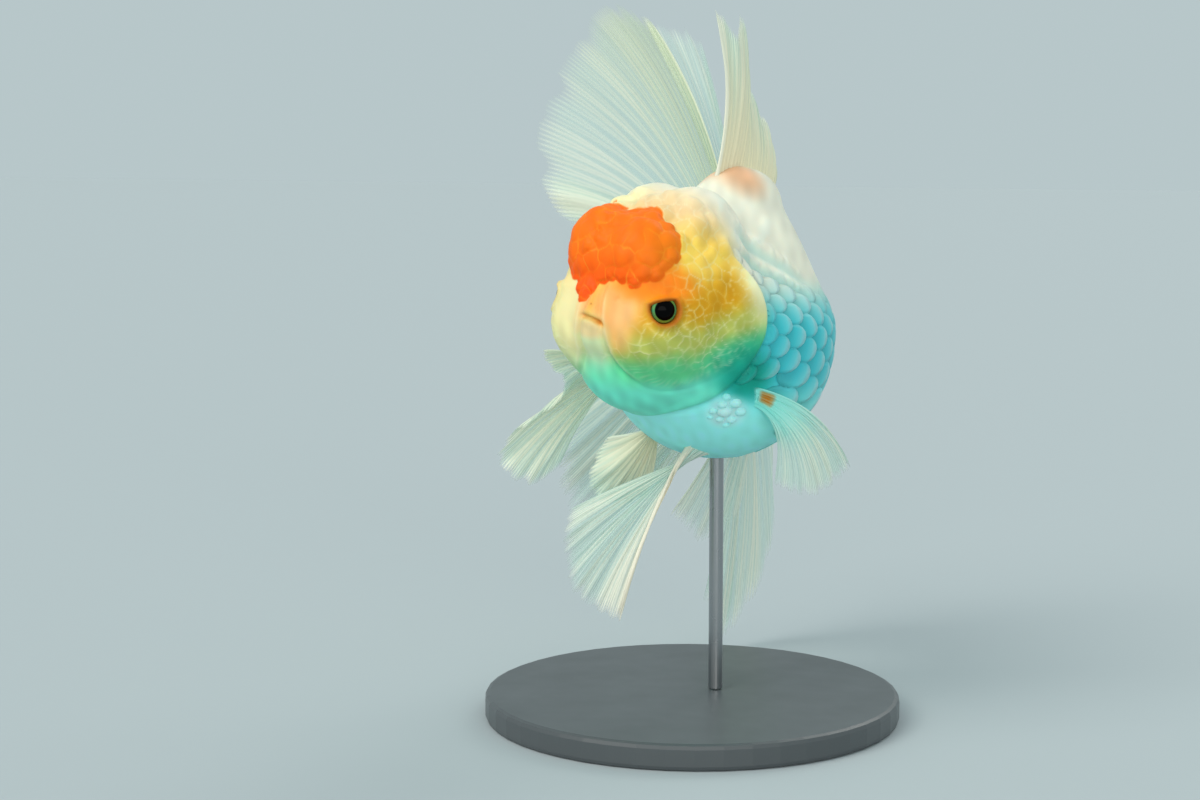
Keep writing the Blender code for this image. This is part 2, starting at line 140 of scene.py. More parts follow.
# Fins: a root line in body coordinates, rays from the leading to the trailing one (heading, rise, length),
# the sideways bow of the rays (heading, rise, size), the folds (count, depth, phase) and the number of bony
# rays. Some also have a notch (place, depth, width), a pale hem (place, width, strength), a leading ray
# (width, thickness) that may be warm, a root that starts deep in the skin, is fleshy to some mm or blends into
# the belly, a spot (place along and across), and shares of opacity (body), of strands, and of olive and cream.
FINS = {
    "dorsal_fin": {
        "root": ((52, 0, 36), (87, 0, 31)),
        "rays": ((-19, 77, 55), (-10, 72, 57), (-24, 64, 51), (-22, 54, 39), (-12, 50, 24)),
        "bow": (66, 0, 3.5),
        "folds": (1.5, 1.0, 0.0),
        "notch": (0.13, 0.13, 0.055),
        "body": 2.8,
        "cream": 1.0,
        "bones": 19,
    },
    "tail_fin_upper_right": {
        "root": ((116, -1.5, 9), (121, -2.6, 3)),
        "rays": ((-69, 64, 93), (-79, 60, 103), (-90, 51, 95), (-105, 28, 71), (-105, 8, 28)),
        "bow": (30, 40, 7.5),
        "folds": (2.5, 2.0, 0.1),
        "hem": (0.79, 0.04, 1.0),
        "body": 0.85,
        "strands": 0.5,
        "olive": 0.28,
        "bones": 27,
    },
    "tail_fin_upper_left": {
        "root": ((116, 1.5, 9), (121, 2.6, 3)),
        "rays": ((-57, 54, 106), (-41, 52, 106), (-31, 45, 102), (-27, 30, 94), (-22, 4, 58)),
        "bow": (30, 40, 4.0),
        "folds": (2.5, 2.0, 0.4),
        "bones": 24,
    },
    "tail_fin_lower_left": {
        "root": ((121, 2.8, 1), (117, 2.6, -5)),
        "rays": ((-16, -14, 54), (-8, -42, 84), (-14, -64, 121), (-30, -73, 126), (-42, -72, 109)),
        "bow": (60, 0, 3.0),
        "folds": (2.5, 2.0, 0.2),
        "body": 1.3,
        "bones": 26,
    },
    "tail_fin_lower_right": {
        "root": ((121, -2.8, 1), (117, -2.6, -5)),
        "rays": ((-112, -12, 42), (-116, -40, 72), (-112, -52, 86), (-102, -60, 80), (-88, -65, 72)),
        "bow": (60, 0, 2.0),
        "folds": (2.0, 1.5, 0.2),
        "body": 1.3,
        "bones": 20,
    },
    "anal_fin_left": {
        "root": ((91, 3.5, -24), (99, 3.5, -17)),
        "rays": ((-99, -58, 53), (-95, -64, 57), (-86, -72, 63), (-45, -73, 57)),
        "bow": (0, 0, 2.0),
        "folds": (1.5, 1.2, 0.2),
        "bones": 13,
    },
    "anal_fin_right": {
        "root": ((91, -3.5, -24), (99, -3.5, -17)),
        "rays": ((-110, -42, 46), (-107, -49, 50), (-103, -56, 52), (-98, -60, 48)),
        "bow": (0, 0, 2.0),
        "folds": (1.5, 1.0, 0.2),
        "bones": 11,
    },
    "pelvic_fin_left": {
        "root": ((46, 6, -40.5), (55, 12, -42)),
        "rays": ((-118, -69, 59), (-116, -51, 60), (-113, -38, 57), (-111, -22, 51)),
        "bow": (80, -20, -2.0),
        "folds": (2.5, 1.5, 0.2),
        "warm": 1.0,
        "lead": (0.035, 0.75),
        "body": 1.3,
        "bones": 16,
    },
    "pelvic_fin_right": {
        "root": ((51, -11, -38.5), (59, -15.5, -39)),
        "rays": ((-98, -14, 16), (-108, -44, 29), (-99, -58, 29), (-84, -70, 27), (-52, -72, 25)),
        "bow": (80, -20, 1.0),
        "folds": (1.5, 1.0, 0.2),
        "body": 2.5,
        "cream": 0.95,
        "bones": 12,
    },
    "pectoral_fin_left": {
        "root": ((44.5, 27.5, -20.5), (47, 26.5, -26.5)),
        "rays": ((42, -38, 41), (46, -44, 40), (48, -58, 35), (49, -74, 25)),
        "bow": (66, 45, 5.0),
        "folds": (1.5, 1.2, 0.2),
        "spot": (0.11, 0.35),
        "deep": 0.12,
        "fleshy": 0.25,
        "blend": 0.75,
        "body": 1.4,
        "bones": 17,
    },
    "pectoral_fin_right": {
        "root": ((44.5, -27.5, -20.5), (47, -26.5, -26.5)),
        "rays": (
            (-135, 12, 21),
            (-142, -20, 17),
            (-138, -30, 32),
            (-131, -36, 44),
            (-128, -50, 43),
            (-122, -59, 32),
        ),
        "bow": (-66, 30, 2.0),
        "folds": (2.0, 1.5, 0.2),
        "body": 1.7,
        "cream": 0.5,
        "bones": 20,
    },
}
FLESH = ("wen", "head", "gill_cover_left", "gill_cover_right", "trunk", "tail_stem")
RAY_POINTS, FIN_POINTS = 16, 44  # points of a fin's sheet across each bony ray and along it

# Studio: suns with the heading they come from, rise, spread and power; the camera's place, target and lens
SUNS = (
    ("key", (-0.45, 0.75), 45.0, 35.0, 1.5),
    ("fill", (0.45, 0.85), 2.0, 60.0, 1.7),
    ("rim", (0.30, -0.95), 40.0, 30.0, 0.6),
)
CAMERA_PLACE, CAMERA_TARGET, CAMERA_LENS = (0.2576, -0.6494, 0.1843), (-0.0058, -0.0579, 0.1060), 68.0


# ---------------------------------------------------------------- settings


def length(name, text, default):
    """A setting in metres"""
    return FloatProperty(
        name=name, description=text, default=default, min=0.0, subtype="DISTANCE", unit="LENGTH"
    )


def tint(name, text, default):
    """A setting that is a colour"""
    return FloatVectorProperty(
        name=name, description=text, default=default, size=3, min=0, max=1, subtype="COLOR_GAMMA"
    )


def whole(name, text, default, least=1):
    """A setting that is a whole number"""
    return IntProperty(name=name, description=text, default=default, min=least)


class GoldfishSizes(bpy.types.PropertyGroup):
    """Sizes of the surface detail"""

    head_rows: whole("Head rows", "Rows of skin in the head", 150, 20)
    trunk_rows: whole("Trunk rows", "Rows of skin behind the head's centre", 90, 20)
    columns: whole("Columns", "Columns of skin round the body", 400, 40)
    scale_depth: length("Scale depth", "How far the skin lies inside the trunk, under its scales", 0.0004)
    cobble: length("Cobble", "Width of the crown's bumps", 0.0031)
    cobble_height: length("Cobble height", "Height of the crown's bumps", 0.0002)
    lobule: length("Lobule", "Width of the cap's lobules", 0.0052)
    lobule_height: length("Lobule height", "Height of the cap's lobules", 0.00038)
    pearl: length("Pearl", "Spacing of the white bumps in front of the pectoral fin", 0.0025)
    lobe: length("Lobe", "Width of the crown's large lobes", 0.0072)
    lobe_height: length("Lobe height", "Height of the crown's large lobes", 0.0015)
    cap_height: length("Cap height", "How far the red cap stands out of the crown", 0.0007)
    crackle: length("Crackle", "Width of the cells on the cheek", 0.0022)
    crackle_height: length("Crackle height", "Height of the pale lines between the cheek's cells", 0.00016)
    scale_rise: length("Scale rise", "Height of a scale's free edge", 0.00024)
    scale_pitch: FloatProperty(
        name="Scale pitch", description="Spacing of the rings over a scale's height", default=0.66
    )
    scales_round: whole("Scales round", "Scales in a ring round the body", 31, 6)
    membrane: length("Membrane", "Thickness of a fin between its rays", 0.00022)
    ray_height: length("Ray height", "Height of a bony ray on each side of its fin", 0.0002)


class GoldfishColours(bpy.types.PropertyGroup):
    """Colours of the fish. Most are as they look in plain light; the aqua and green of its throat, belly,
    flanks and lower cheek are painted water light and shade, and some marks are painted shade or highlights.
    """

    cap: tint("Cap", "The red-orange cap", (1.0, 0.45, 0.01))
    cap_deep: tint("Cap deep", "Creases and lower edge of the cap", (1.0, 0.35, 0.0))
    crown: tint("Crown", "Top of the head", (0.93, 0.80, 0.58))
    yellow: tint("Yellow", "Growth beside the cap", (1.0, 0.83, 0.36))
    gold: tint("Gold", "Behind the eye", (0.85, 0.61, 0.07))
    orange: tint("Orange", "Above the eye", (1.0, 0.52, 0.06))
    peach: tint("Peach", "Snout and front of the cheek", (1.0, 0.70, 0.40))
    olive: tint("Olive", "Middle of the cheek", (0.72, 0.75, 0.36))
    # Painted water light and shade: the green of the lower cheek
    green: tint("Green", "Lower cheek", (0.38, 0.82, 0.56))
    # Painted shade in the cleft of the gill cover over the pectoral fin
    cleft_shade: tint("Teal", "Cleft of the gill cover over the pectoral fin", (0.0, 0.60, 0.52))
    gill: tint("Gill", "Upper edge of the gill cover", (0.98, 0.97, 0.78))
    # Painted light: the right cheek is paler than the green left one, as if lit
    right_cheek_lit: tint("Right cheek", "The cheek of the other side", (0.95, 0.93, 0.70))
    chin: tint("Chin", "Under the mouth", (0.84, 0.90, 0.70))
    # Throat, belly and flank: their aqua is painted water light and shade
    throat: tint("Throat", "Throat and breast", (0.46, 0.93, 0.82))
    belly: tint("Belly", "Underside", (0.62, 1.0, 0.97))
    flank: tint("Flank", "Sides", (0.24, 0.76, 0.80))
    back: tint("Back", "Back and nape", (0.93, 0.92, 0.84))
    hump: tint("Hump", "Hump in front of the dorsal fin", (0.90, 0.66, 0.48))
    line: tint("Line", "Raised lines between cells", (0.95, 0.94, 0.80))
    # Painted highlight on the scales' free edges and on the back's ripples; also the white of the pearls
    highlight_and_pearl: tint("Scale edge", "Free edge of a scale", (0.80, 0.94, 0.94))
    # Painted shade in the mouth's slit
    lip: tint("Lip", "Slit of the mouth", (0.86, 0.50, 0.10))
    # Painted shade in the socket round each eye
    socket_shade: tint("Socket", "Rim of the eye", (0.66, 0.34, 0.06))
    iris: tint("Iris", "Ring round the pupil", (0.50, 0.68, 0.28))
    iris_cool: tint("Iris side", "Sides of the ring", (0.28, 0.62, 0.44))
    spot: tint("Spot", "Spot at the pectoral fin's root", (0.84, 0.54, 0.12))
    fin: tint("Fin", "Membrane of the fins", (0.62, 0.84, 0.82))
    ray: tint("Ray", "Bony rays of the fins", (0.97, 0.97, 0.91))
    cream: tint("Cream", "Roots of the dorsal and right pelvic fins", (0.98, 0.95, 0.83))
    ray_warm: tint("Warm ray", "Leading ray of the left pelvic fin", (1.0, 0.97, 0.90))
    base: tint("Base", "Stand's base", (0.30, 0.32, 0.33))
    rod: tint("Rod", "Stand's rod", (0.62, 0.63, 0.64))
    floor: tint("Floor", "The floor", (0.700, 0.7375, 0.751))
    backdrop: tint("Backdrop", "Background and its soft light", (0.72, 0.78, 0.79))
    sun: tint("Lamps", "The lamps' light", (1.0, 0.985, 0.96))


# ---------------------------------------------------------------- number helpers


def step(x, low, high):
    """Smooth step: 0 at low, 1 at high, by 3t^2 - 2t^3 between; low may be above high."""
    t = np.clip((x - low) / (high - low), 0, 1)
    return t * t * (3 - 2 * t)


def bell(x, width):
    """exp(-(x / width)^2)"""
    return np.exp(-((x / width) ** 2))


def mix(a, b, share):
    """Colours between a, at share 0, and b, at share 1"""
    a, b, share = (np.asarray(value, float) for value in (a, b, share))
    return a + (b - a) * share[..., None]


def linear(colour):
    """Display colour to linear light, by the sRGB curve"""
    colour = np.clip(np.asarray(colour, float), 0, 1)
    return np.where(colour <= 0.04045, colour / 12.92, ((colour + 0.055) / 1.055) ** 2.4)


def smooth_table(x, xs, ys):
    """Cubic Hermite through the table's points, with slopes from their neighbours."""
    xs, ys = np.asarray(xs, float), np.asarray(ys, float)
    slope = np.gradient(ys, xs)
    x = np.clip(x, xs[0], xs[-1])
    i = np.clip(np.searchsorted(xs, x) - 1, 0, len(xs) - 2)
    h = xs[i + 1] - xs[i]
    t = (x - xs[i]) / h
    return (
        (2 * t**3 - 3 * t**2 + 1) * ys[i]
        + (t**3 - 2 * t**2 + t) * h * slope[i]
        + (3 * t**2 - 2 * t**3) * ys[i + 1]
        + (t**3 - t**2) * h * slope[i + 1]
    )


def unit(v):
    """The same direction with a length of 1"""
    return v / np.maximum(np.linalg.norm(v, axis=-1, keepdims=True), 1e-9)


def apart(p, place):
    """Distance of each point from one place"""
    return np.linalg.norm(p - np.array(place), axis=-1)


def wander(p, size, seed):
    """Smooth noise, mostly between -1 and 1: a sum of seven sine waves about as long as the size, in seeded
    directions, over 2.6, which is near the root of seven."""
    chance = np.random.default_rng(seed)
    total = 0
    for _ in range(7):
        way = unit(chance.normal(size=3)) * 2 * math.pi / size * chance.uniform(0.6, 1.5)
        total = total + np.sin(p @ way + chance.uniform(0, 2 * math.pi))
    return total / 2.6


def stirred(p, size, amount, seed):
    """Points moved by smooth noise in each direction, which makes straight borders wavy."""
    return p + amount * np.stack([wander(p, size, seed + k) for k in range(3)], -1)


def spokes(turn, count, width):
    """1 on each of the lines that divide a turn, in radians, into equal parts, over a width given in
    parts."""
    return bell((turn * count / (2 * math.pi)) % 1.0 - 0.5, width)


def nearest(points, seeds, count, block_size=6000):
    """Distances from each point to its nearest seeds, in order, and those seeds' numbers, by blocks of
    points."""
    far, which = [], []
    for start in range(0, len(points), block_size):
        block = points[start : start + block_size]
        square = (block**2).sum(1)[:, None] + (seeds**2).sum(1)[None] - 2 * block @ seeds.T
        index = np.argpartition(square, count, axis=1)[:, :count]
        found = np.take_along_axis(square, index, 1)
        order = np.argsort(found, 1)
        far.append(np.sqrt(np.clip(np.take_along_axis(found, order, 1), 0, None)))
        which.append(np.take_along_axis(index, order, 1))
    return np.concatenate(far), np.concatenate(which)


def scatter(points, spacing, seed):
    """Seeded darts: in a shuffled order, a point is kept if it is farther than its spacing from those
    kept."""
    kept = np.full((len(points), 4), 1e6)
    number = 0
    for i in np.random.default_rng(seed).permutation(len(points)):
        if ((kept[:number, :3] - points[i]) ** 2).sum(1).min(initial=1e9) > spacing[i] ** 2:
            kept[number] = (*points[i], spacing[i])
            number += 1
    return kept[:number, :3], kept[:number, 3]


def domes(points, seeds, spacing, soft=0.3, width=0.62):
    """Round bumps on seeds: 1 at a seed, falling with the square of the softened distance to the nearest ones
    over their spacing times the width. Also gives how much farther the second seed is than the first, and the
    first one's number."""
    far, which = nearest(points, seeds, 3)
    blurred = -soft * np.log(np.exp(-far / soft).sum(1) + 1e-30)
    wide = width * spacing[which[:, 0]]
    return 1 - np.clip(blurred / wide, 0, 1.3) ** 2, far[:, 1] - far[:, 0], which[:, 0]


# ---------------------------------------------------------------- body shape


def trunk_distance(p):
    """Roughly the distance outside the trunk: an egg-shaped section, narrower above than below."""
    s, y, z = p[..., 0], p[..., 1], p[..., 2]
    stations = np.array(TRUNK)
    width, top, bottom = (smooth_table(s, stations[:, 0], stations[:, k]) for k in (1, 2, 3))
    middle, half = (top + bottom) / 2, (top - bottom) / 2
    zeta = (z - middle) / half
    taper = np.where(zeta > 0, 1 - BACK_TAPER * zeta, 1 + BELLY_TAPER * zeta)
    ratio = np.hypot(y / (width * np.clip(taper, 0.3, 2)), zeta)
    before = np.clip(stations[0, 0] - s, 0, None)
    return (ratio - 1) * np.minimum(width, half) + before


def lobe_distance(p, centre, radii):
    """Roughly the distance outside an ellipsoid."""
    q = (p - np.array(centre)) / np.array(radii)
    k0 = np.linalg.norm(q, axis=-1)
    k1 = np.linalg.norm(q / np.array(radii), axis=-1)
    return k0 * (k0 - 1) / np.maximum(k1, 1e-9)


def body_distance(p):
    """Smooth union of the trunk and every lobe."""
    total = np.exp(-trunk_distance(p) / BLEND)
    mirrored = p * np.array([1.0, -1.0, 1.0])
    for centre, radii in LOBES.values():
        total += np.exp(-np.clip(lobe_distance(p, centre, radii), -40, 40) / BLEND)
        if centre[1]:
            total += np.exp(-np.clip(lobe_distance(mirrored, centre, radii), -40, 40) / BLEND)
    return -BLEND * np.log(total)


def neck_lean(around):
    """How far, in radians, rays lean forward below the spine at each angle round it."""
    return math.radians(NECK_LEAN) * np.clip(-np.cos(around), 0, None) ** 1.8


def rays(shares, stations, columns):
    """Ray origins and directions. Head rays turn from straight ahead to the neck's lean about the head's
    centre, and the rest leave the spine sideways. The angle round the spine starts at the back and runs
    left."""
    s = np.concatenate([np.full(len(shares), HEAD_S), stations])[:, None]
    share = np.concatenate([shares, np.ones(len(stations))])[:, None]
    around = np.linspace(0.0, 2 * math.pi, columns, endpoint=False)[None, :]
    fade = np.clip((LEAN_END - s) / (LEAN_END - NECK_CUT), 0, 1)
    lean = share * (math.pi / 2 - neck_lean(around) * fade)
    around = around + 0 * lean
    side = np.sin(lean)
    direction = np.stack([-np.cos(lean), side * np.sin(around), side * np.cos(around)], -1)
    origin = np.zeros_like(direction)
    origin[..., 0] = s
    return origin, direction


def reach(origin, direction, low, high, halvings):
    """Bisection along each ray for the body's surface."""
    for _ in range(halvings):
        middle = (low + high) / 2
        held = body_distance(origin + direction * middle[..., None]) < 0
        low, high = np.where(held, middle, low), np.where(held, high, middle)
    return low


@functools.cache
def body_surface(head_rows, trunk_rows, columns):
    """The bare body as a grid of points and outward normals, from the snout back, with each row's station.
    The outermost root of each ray is found on every fifth row and column, spread out, and then halved in."""
    shares = np.linspace(0, 1, head_rows, endpoint=False)
    near = int(trunk_rows * NEAR_ROWS)
    stations = np.concatenate(
        [
            np.linspace(HEAD_S, NEAR_END, near, endpoint=False),
            np.linspace(NEAR_END, BODY_END, trunk_rows - near),
        ]
    )
    rows = np.arange(head_rows + trunk_rows)
    coarse_rows = np.unique(np.append(rows[::COARSE], rows[-1]))
    coarse_columns = columns // COARSE
    picked = np.concatenate([shares, stations])[coarse_rows]
    in_head = coarse_rows < head_rows
    origin, direction = rays(picked[in_head], picked[~in_head], coarse_columns)
    inside = np.zeros(direction.shape[:-1])
    for t in np.arange(0.0, FARTHEST, 1.0):
        inside = np.where(body_distance(origin + direction * t) < 0, t, inside)
    radius = reach(origin, direction, inside, inside + 1.0, 9)
    radius = np.concatenate([radius, radius[:, :1]], 1)
    across = np.arange(columns) / COARSE
    spread = np.array([np.interp(across, np.arange(coarse_columns + 1), row) for row in radius])
    spread = np.array([np.interp(rows, coarse_rows, spread[:, c]) for c in range(columns)]).T
    origin, direction = rays(shares, stations, columns)
    found = reach(origin, direction, spread - SLACK, spread + SLACK, 10)
    end = np.clip((origin[..., 0] - (BODY_END - TAIL_ROUND)) / (TAIL_ROUND + 0.2), 0, 1)
    points = origin + direction * (found * np.sqrt(1 - end**2))[..., None]
    down = np.gradient(points, axis=0)
    over = np.roll(points, -1, 1) - np.roll(points, 1, 1)
    normals = unit(np.cross(down, over))
    normals *= np.sign((normals * direction).sum(-1, keepdims=True))
    normals[0] = (-1.0, 0.0, 0.0)
    return points, normals, stations


def spine():
    """Spine points and headings at every half millimetre, curved in the horizontal plane."""
    pace = 0.5
    s = np.arange(-40.0, 330.0, pace)
    heading = np.radians(smooth_table(s, *zip(*HEADINGS)))
    x, y = (np.concatenate([[0], np.cumsum(f(heading)[:-1] * pace)]) for f in (np.sin, np.cos))
    start = np.searchsorted(s, 0.0)
    return s, x - x[start], y - y[start], heading


SPINE = spine()


def turned(v):
    """Rolls a vector, left side down, and pitches it, nose up."""
    roll, pitch = math.radians(ROLL), math.radians(PITCH)
    x = v[..., 0] * math.cos(roll) + v[..., 2] * math.sin(roll)
    z = -v[..., 0] * math.sin(roll) + v[..., 2] * math.cos(roll)
    y = v[..., 1] * math.cos(pitch) + z * math.sin(pitch)
    z = -v[..., 1] * math.sin(pitch) + z * math.cos(pitch)
    return np.stack([x, y, z], -1)


def bend(p):
    """Body coordinates to world metres."""
    s, y, z = p[..., 0], p[..., 1], p[..., 2]
    line, cx, cy, heading = SPINE
    a = np.interp(s, line, heading)
    x = np.interp(s, line, cx) + y * np.cos(a)
    back = np.interp(s, line, cy) - y * np.sin(a)
    pivot = np.array([np.interp(PIVOT[1], line, cx) + PIVOT[0], np.interp(PIVOT[1], line, cy), 0.0])
    world = turned(np.stack([x, back, z], -1) - pivot)
    return (world + np.array([0.0, 0.0, LIFT])) * MM


# ---------------------------------------------------------------- markings


def left_twin(p):
    """Points of the right side mirrored to the left one"""
    return np.stack([p[..., 0], np.abs(p[..., 1]), p[..., 2]], -1)


def angle_round(p):
    """Angle round the body, in degrees from the top, on either side"""
    return np.degrees(np.arctan2(np.abs(p[..., 1]), p[..., 2]))


def oval(p, centre, radii, soft=0.45):
    """1 inside an ellipsoid round a point of the left side and its twin, fading to 0 across its edge."""
    ratio = np.linalg.norm((left_twin(p) - np.array(centre)) / np.array(radii), axis=-1)
    return step(ratio, 1 + soft, 1 - soft)


def behind_rim(p):
    """Distance behind the gill cover's rim, along the body, from a table of the rim's s by angle round it."""
    return p[..., 0] - smooth_table(angle_round(p), *zip(*GILL_RIM))


def above_fold(p):
    """Height above the flank fold's line"""
    start, level, slope, _ = FLANK_FOLD
    return p[..., 2] - (level + slope * (p[..., 0] - start))


def markings(p, colours):
    """Display colours of the bare skin in body coordinates, painted layer on layer: the trunk from belly to
    back, the head from throat to crown with patches over it, and the head over the trunk as far as the gill
    rim."""
    s, y, z = p[..., 0], p[..., 1], p[..., 2]
    # The aqua of flank and belly is painted water light and shade
    trunk = mix(colours.flank, colours.belly, step(z, -14, -33))
    trunk = mix(trunk, colours.back, step(z, -3, 14))
    trunk = mix(trunk, colours.hump, 0.85 * oval(p, (61, 2, 39), (8, 9, 6.5), 0.6))
    tilted = z - 0.45 * np.clip(s - 20, 0, 30) + 0.35 * np.clip(14 - s, 0, 14)
    # The aqua and green of throat and lower cheek are painted water light and shade
    head = mix(colours.throat, colours.green, step(tilted, -25.5, -17))
    patches = (
        (colours.olive, step(tilted, -16.5, -8)),
        (colours.gold, step(tilted, -7.5, 1)),
        (colours.yellow, step(tilted, 3, 13)),
        (colours.crown, step(z, 18, 30)),
        (colours.gill, oval(p, (43, 27, 12), (8, 12, 13), 0.6)),
        (colours.peach, oval(p, (4, 7, 0), (9, 8.5, 8)) * step(z, -12, -4)),
        (colours.peach, 0.7 * oval(p, (2, 9, -8), (4.5, 4.5, 6), 0.6)),
        (colours.crown, 0.38 * oval(p, (4, 11, -4), (5, 5, 6), 0.7)),
        (colours.orange, oval(p, (12, 17, 7.5), (9, 8, 5), 0.6)),
        (colours.chin, oval(p, (2, 0, -12), (9, 6, 8.5), 0.5)),
        # Painted light: the right side's lower cheek is painted paler, as if lit
        (colours.right_cheek_lit, 0.85 * step(y, -1, -8) * step(z, -26, -15)),
        (colours.crown, 0.8 * oval(p, (1.5, 0, -7.4), (6, 5.5, 2.6), 0.5)),
        # Painted shade in the hollow between the cheek pad and the gill cover
        (colours.cleft_shade, 0.6 * oval(p, (38, 28, -14), (10, 11, 8), 0.6)),
        (colours.throat, 0.5 * oval(p, (6, 0, -22), (10, 9, 6), 0.6)),
    )
    for colour, share in patches:
        head = mix(head, colour, share)
    soft = 1.2 + 7.0 * step(z, 10, 27)
    paint = mix(trunk, head, step(behind_rim(p) / soft, 1, -1))
    # Painted shade in the cleft behind the gill rim, over the pectoral fin's root
    paint = mix(paint, colours.cleft_shade, 0.95 * oval(p, (41, 30, -18), (7, 9, 7.5), 0.6))
    return mix(paint, colours.highlight_and_pearl, 0.8 * oval(p, PEARLS[0], (PEARLS[1],) * 3))


def inside_pads(p, pads):
    """How far inside a union of ovals a point lies, in degrees seen from the head's centre, and below 0
    outside. Each oval has a centre and radii, to the left and up from straight ahead."""
    q = unit(p - np.array([HEAD_S, 0.0, 0.0]))
    lean = np.degrees(np.arccos(np.clip(-q[..., 0], -1, 1)))
    angle = np.arctan2(q[..., 1], q[..., 2])
    left, up = lean * np.sin(angle), lean * np.cos(angle)
    return np.max([(1 - np.hypot((left - c[0]) / r[0], (up - c[1]) / r[1])) * min(r) for c, r in pads], 0)


# ---------------------------------------------------------------- pieces


def new_piece(name, points, faces, surface, paint=None, uv=None):
    """Makes a mesh object from points in metres and blocks of faces, turned so that its volume is positive.
    Three- and four-cornered faces come in blocks of their own."""
    first = np.concatenate([block[:, :3] for block in faces])
    second = np.concatenate([block[:, [0, 2, 3]] for block in faces if block.shape[1] == 4] or [first[:0]])
    a, b, c = (points[np.concatenate([first, second])[:, k]] for k in range(3))
    if (a * np.cross(b, c)).sum() < 0:
        faces = [block[:, ::-1] for block in faces]
    corners = np.concatenate([block.ravel() for block in faces])
    sizes = np.concatenate([np.full(len(block), block.shape[1]) for block in faces])
    mesh = bpy.data.meshes.new(name)
    mesh.vertices.add(len(points))
    mesh.vertices.foreach_set("co", np.ascontiguousarray(points, np.float32).ravel())
    mesh.loops.add(len(corners))
    mesh.loops.foreach_set("vertex_index", corners.astype(np.int32))
    mesh.polygons.add(len(sizes))
    mesh.polygons.foreach_set("loop_start", np.concatenate([[0], np.cumsum(sizes)[:-1]]).astype(np.int32))
    mesh.update(calc_edges=True)
    mesh.shade_smooth()
    if paint is not None:
        held = mesh.color_attributes.new(name="paint", type="FLOAT_COLOR", domain="POINT")
        held.data.foreach_set("color", np.ascontiguousarray(paint, np.float32).ravel())
    if uv is not None:
        layer = mesh.uv_layers.new(name="OFBake")
        layer.data.foreach_set("uv", np.ascontiguousarray(uv[corners], np.float32).ravel())
    mesh.materials.append(surface)
    made = bpy.data.objects.new(name, mesh)
    bpy.context.scene.collection.objects.link(made)
    return made


def grid_faces(rows, columns, joined):
    """Quads over a grid of points; joined carries the last column on to the first."""
    r = np.arange(rows - 1)[:, None]
    c = np.arange(columns if joined else columns - 1)[None, :]
    n = (c + 1) % columns
    quads = [r * columns + c, (r + 1) * columns + c, (r + 1) * columns + n, r * columns + n]
    return np.stack(np.broadcast_arrays(*quads), -1).reshape(-1, 4)


def closed_faces(rows, columns):
    """Faces of a grid joined round, closed by fans to two points that follow the grid: one before its first
    row and one behind its last"""
    ring = np.arange(columns)
    after, last, first = (ring + 1) % columns, (rows - 1) * columns, rows * columns
    return [
        grid_faces(rows, columns, True),
        np.stack([np.full(columns, first), ring, after], -1),
        np.stack([np.full(columns, first + 1), last + after, last + ring], -1),
    ]


def with_alpha(colour, alpha=1.0):
    """Linear colour and opacity, as the paint attribute holds them"""
    return np.concatenate([linear(colour), np.broadcast_to(alpha, colour.shape[:-1])[..., None]], -1)


def painted(
    name, roughness, coat=0.0, bump=0.0, grain=900.0, glow=0.0, clear=False, subsurface=0.0, gloss=0.2
):
    """A Principled surface in the piece's own paint, with a fine noise bump. If it is clear, the paint's
    alpha lets light through, and glow is the share that it scatters on its way."""
    made = bpy.data.materials.new(name)
    made.use_nodes = True
    nodes, links = made.node_tree.nodes, made.node_tree.links
    shader = nodes["Principled BSDF"]
    shader.inputs["Roughness"].default_value = roughness
    shader.inputs["Specular IOR Level"].default_value = gloss
    shader.inputs["Coat Weight"].default_value = coat
    shader.inputs["Coat Roughness"].default_value = 0.12
    shader.inputs["Subsurface Weight"].default_value = subsurface
    shader.inputs["Subsurface Radius"].default_value = (1.0, 0.6, 0.4)
    shader.inputs["Subsurface Scale"].default_value = 0.002
    paint = nodes.new("ShaderNodeAttribute")
    paint.attribute_name = "paint"
    links.new(paint.outputs["Color"], shader.inputs["Base Color"])
    if bump:
        place = nodes.new("ShaderNodeTexCoord")
        noise = nodes.new("ShaderNodeTexNoise")
        noise.inputs["Scale"].default_value = grain
        noise.inputs["Detail"].default_value = 3.0
        relief = nodes.new("ShaderNodeBump")
        relief.inputs["Strength"].default_value = bump
        relief.inputs["Distance"].default_value = 0.0003
        links.new(place.outputs["Object"], noise.inputs["Vector"])
        links.new(noise.outputs["Fac"], relief.inputs["Height"])
        links.new(relief.outputs["Normal"], shader.inputs["Normal"])
    if clear:
        through = nodes.new("ShaderNodeBsdfTranslucent")
        both = nodes.new("ShaderNodeMixShader")
        both.inputs["Fac"].default_value = glow
        window = nodes.new("ShaderNodeBsdfTransparent")
        final = nodes.new("ShaderNodeMixShader")
        links.new(paint.outputs["Color"], through.inputs["Color"])
        links.new(shader.outputs["BSDF"], both.inputs[1])
        links.new(through.outputs["BSDF"], both.inputs[2])
        links.new(paint.outputs["Alpha"], final.inputs["Fac"])
        links.new(window.outputs["BSDF"], final.inputs[1])
        links.new(both.outputs["Shader"], final.inputs[2])
        links.new(final.outputs["Shader"], nodes["Material Output"].inputs["Surface"])
    return made


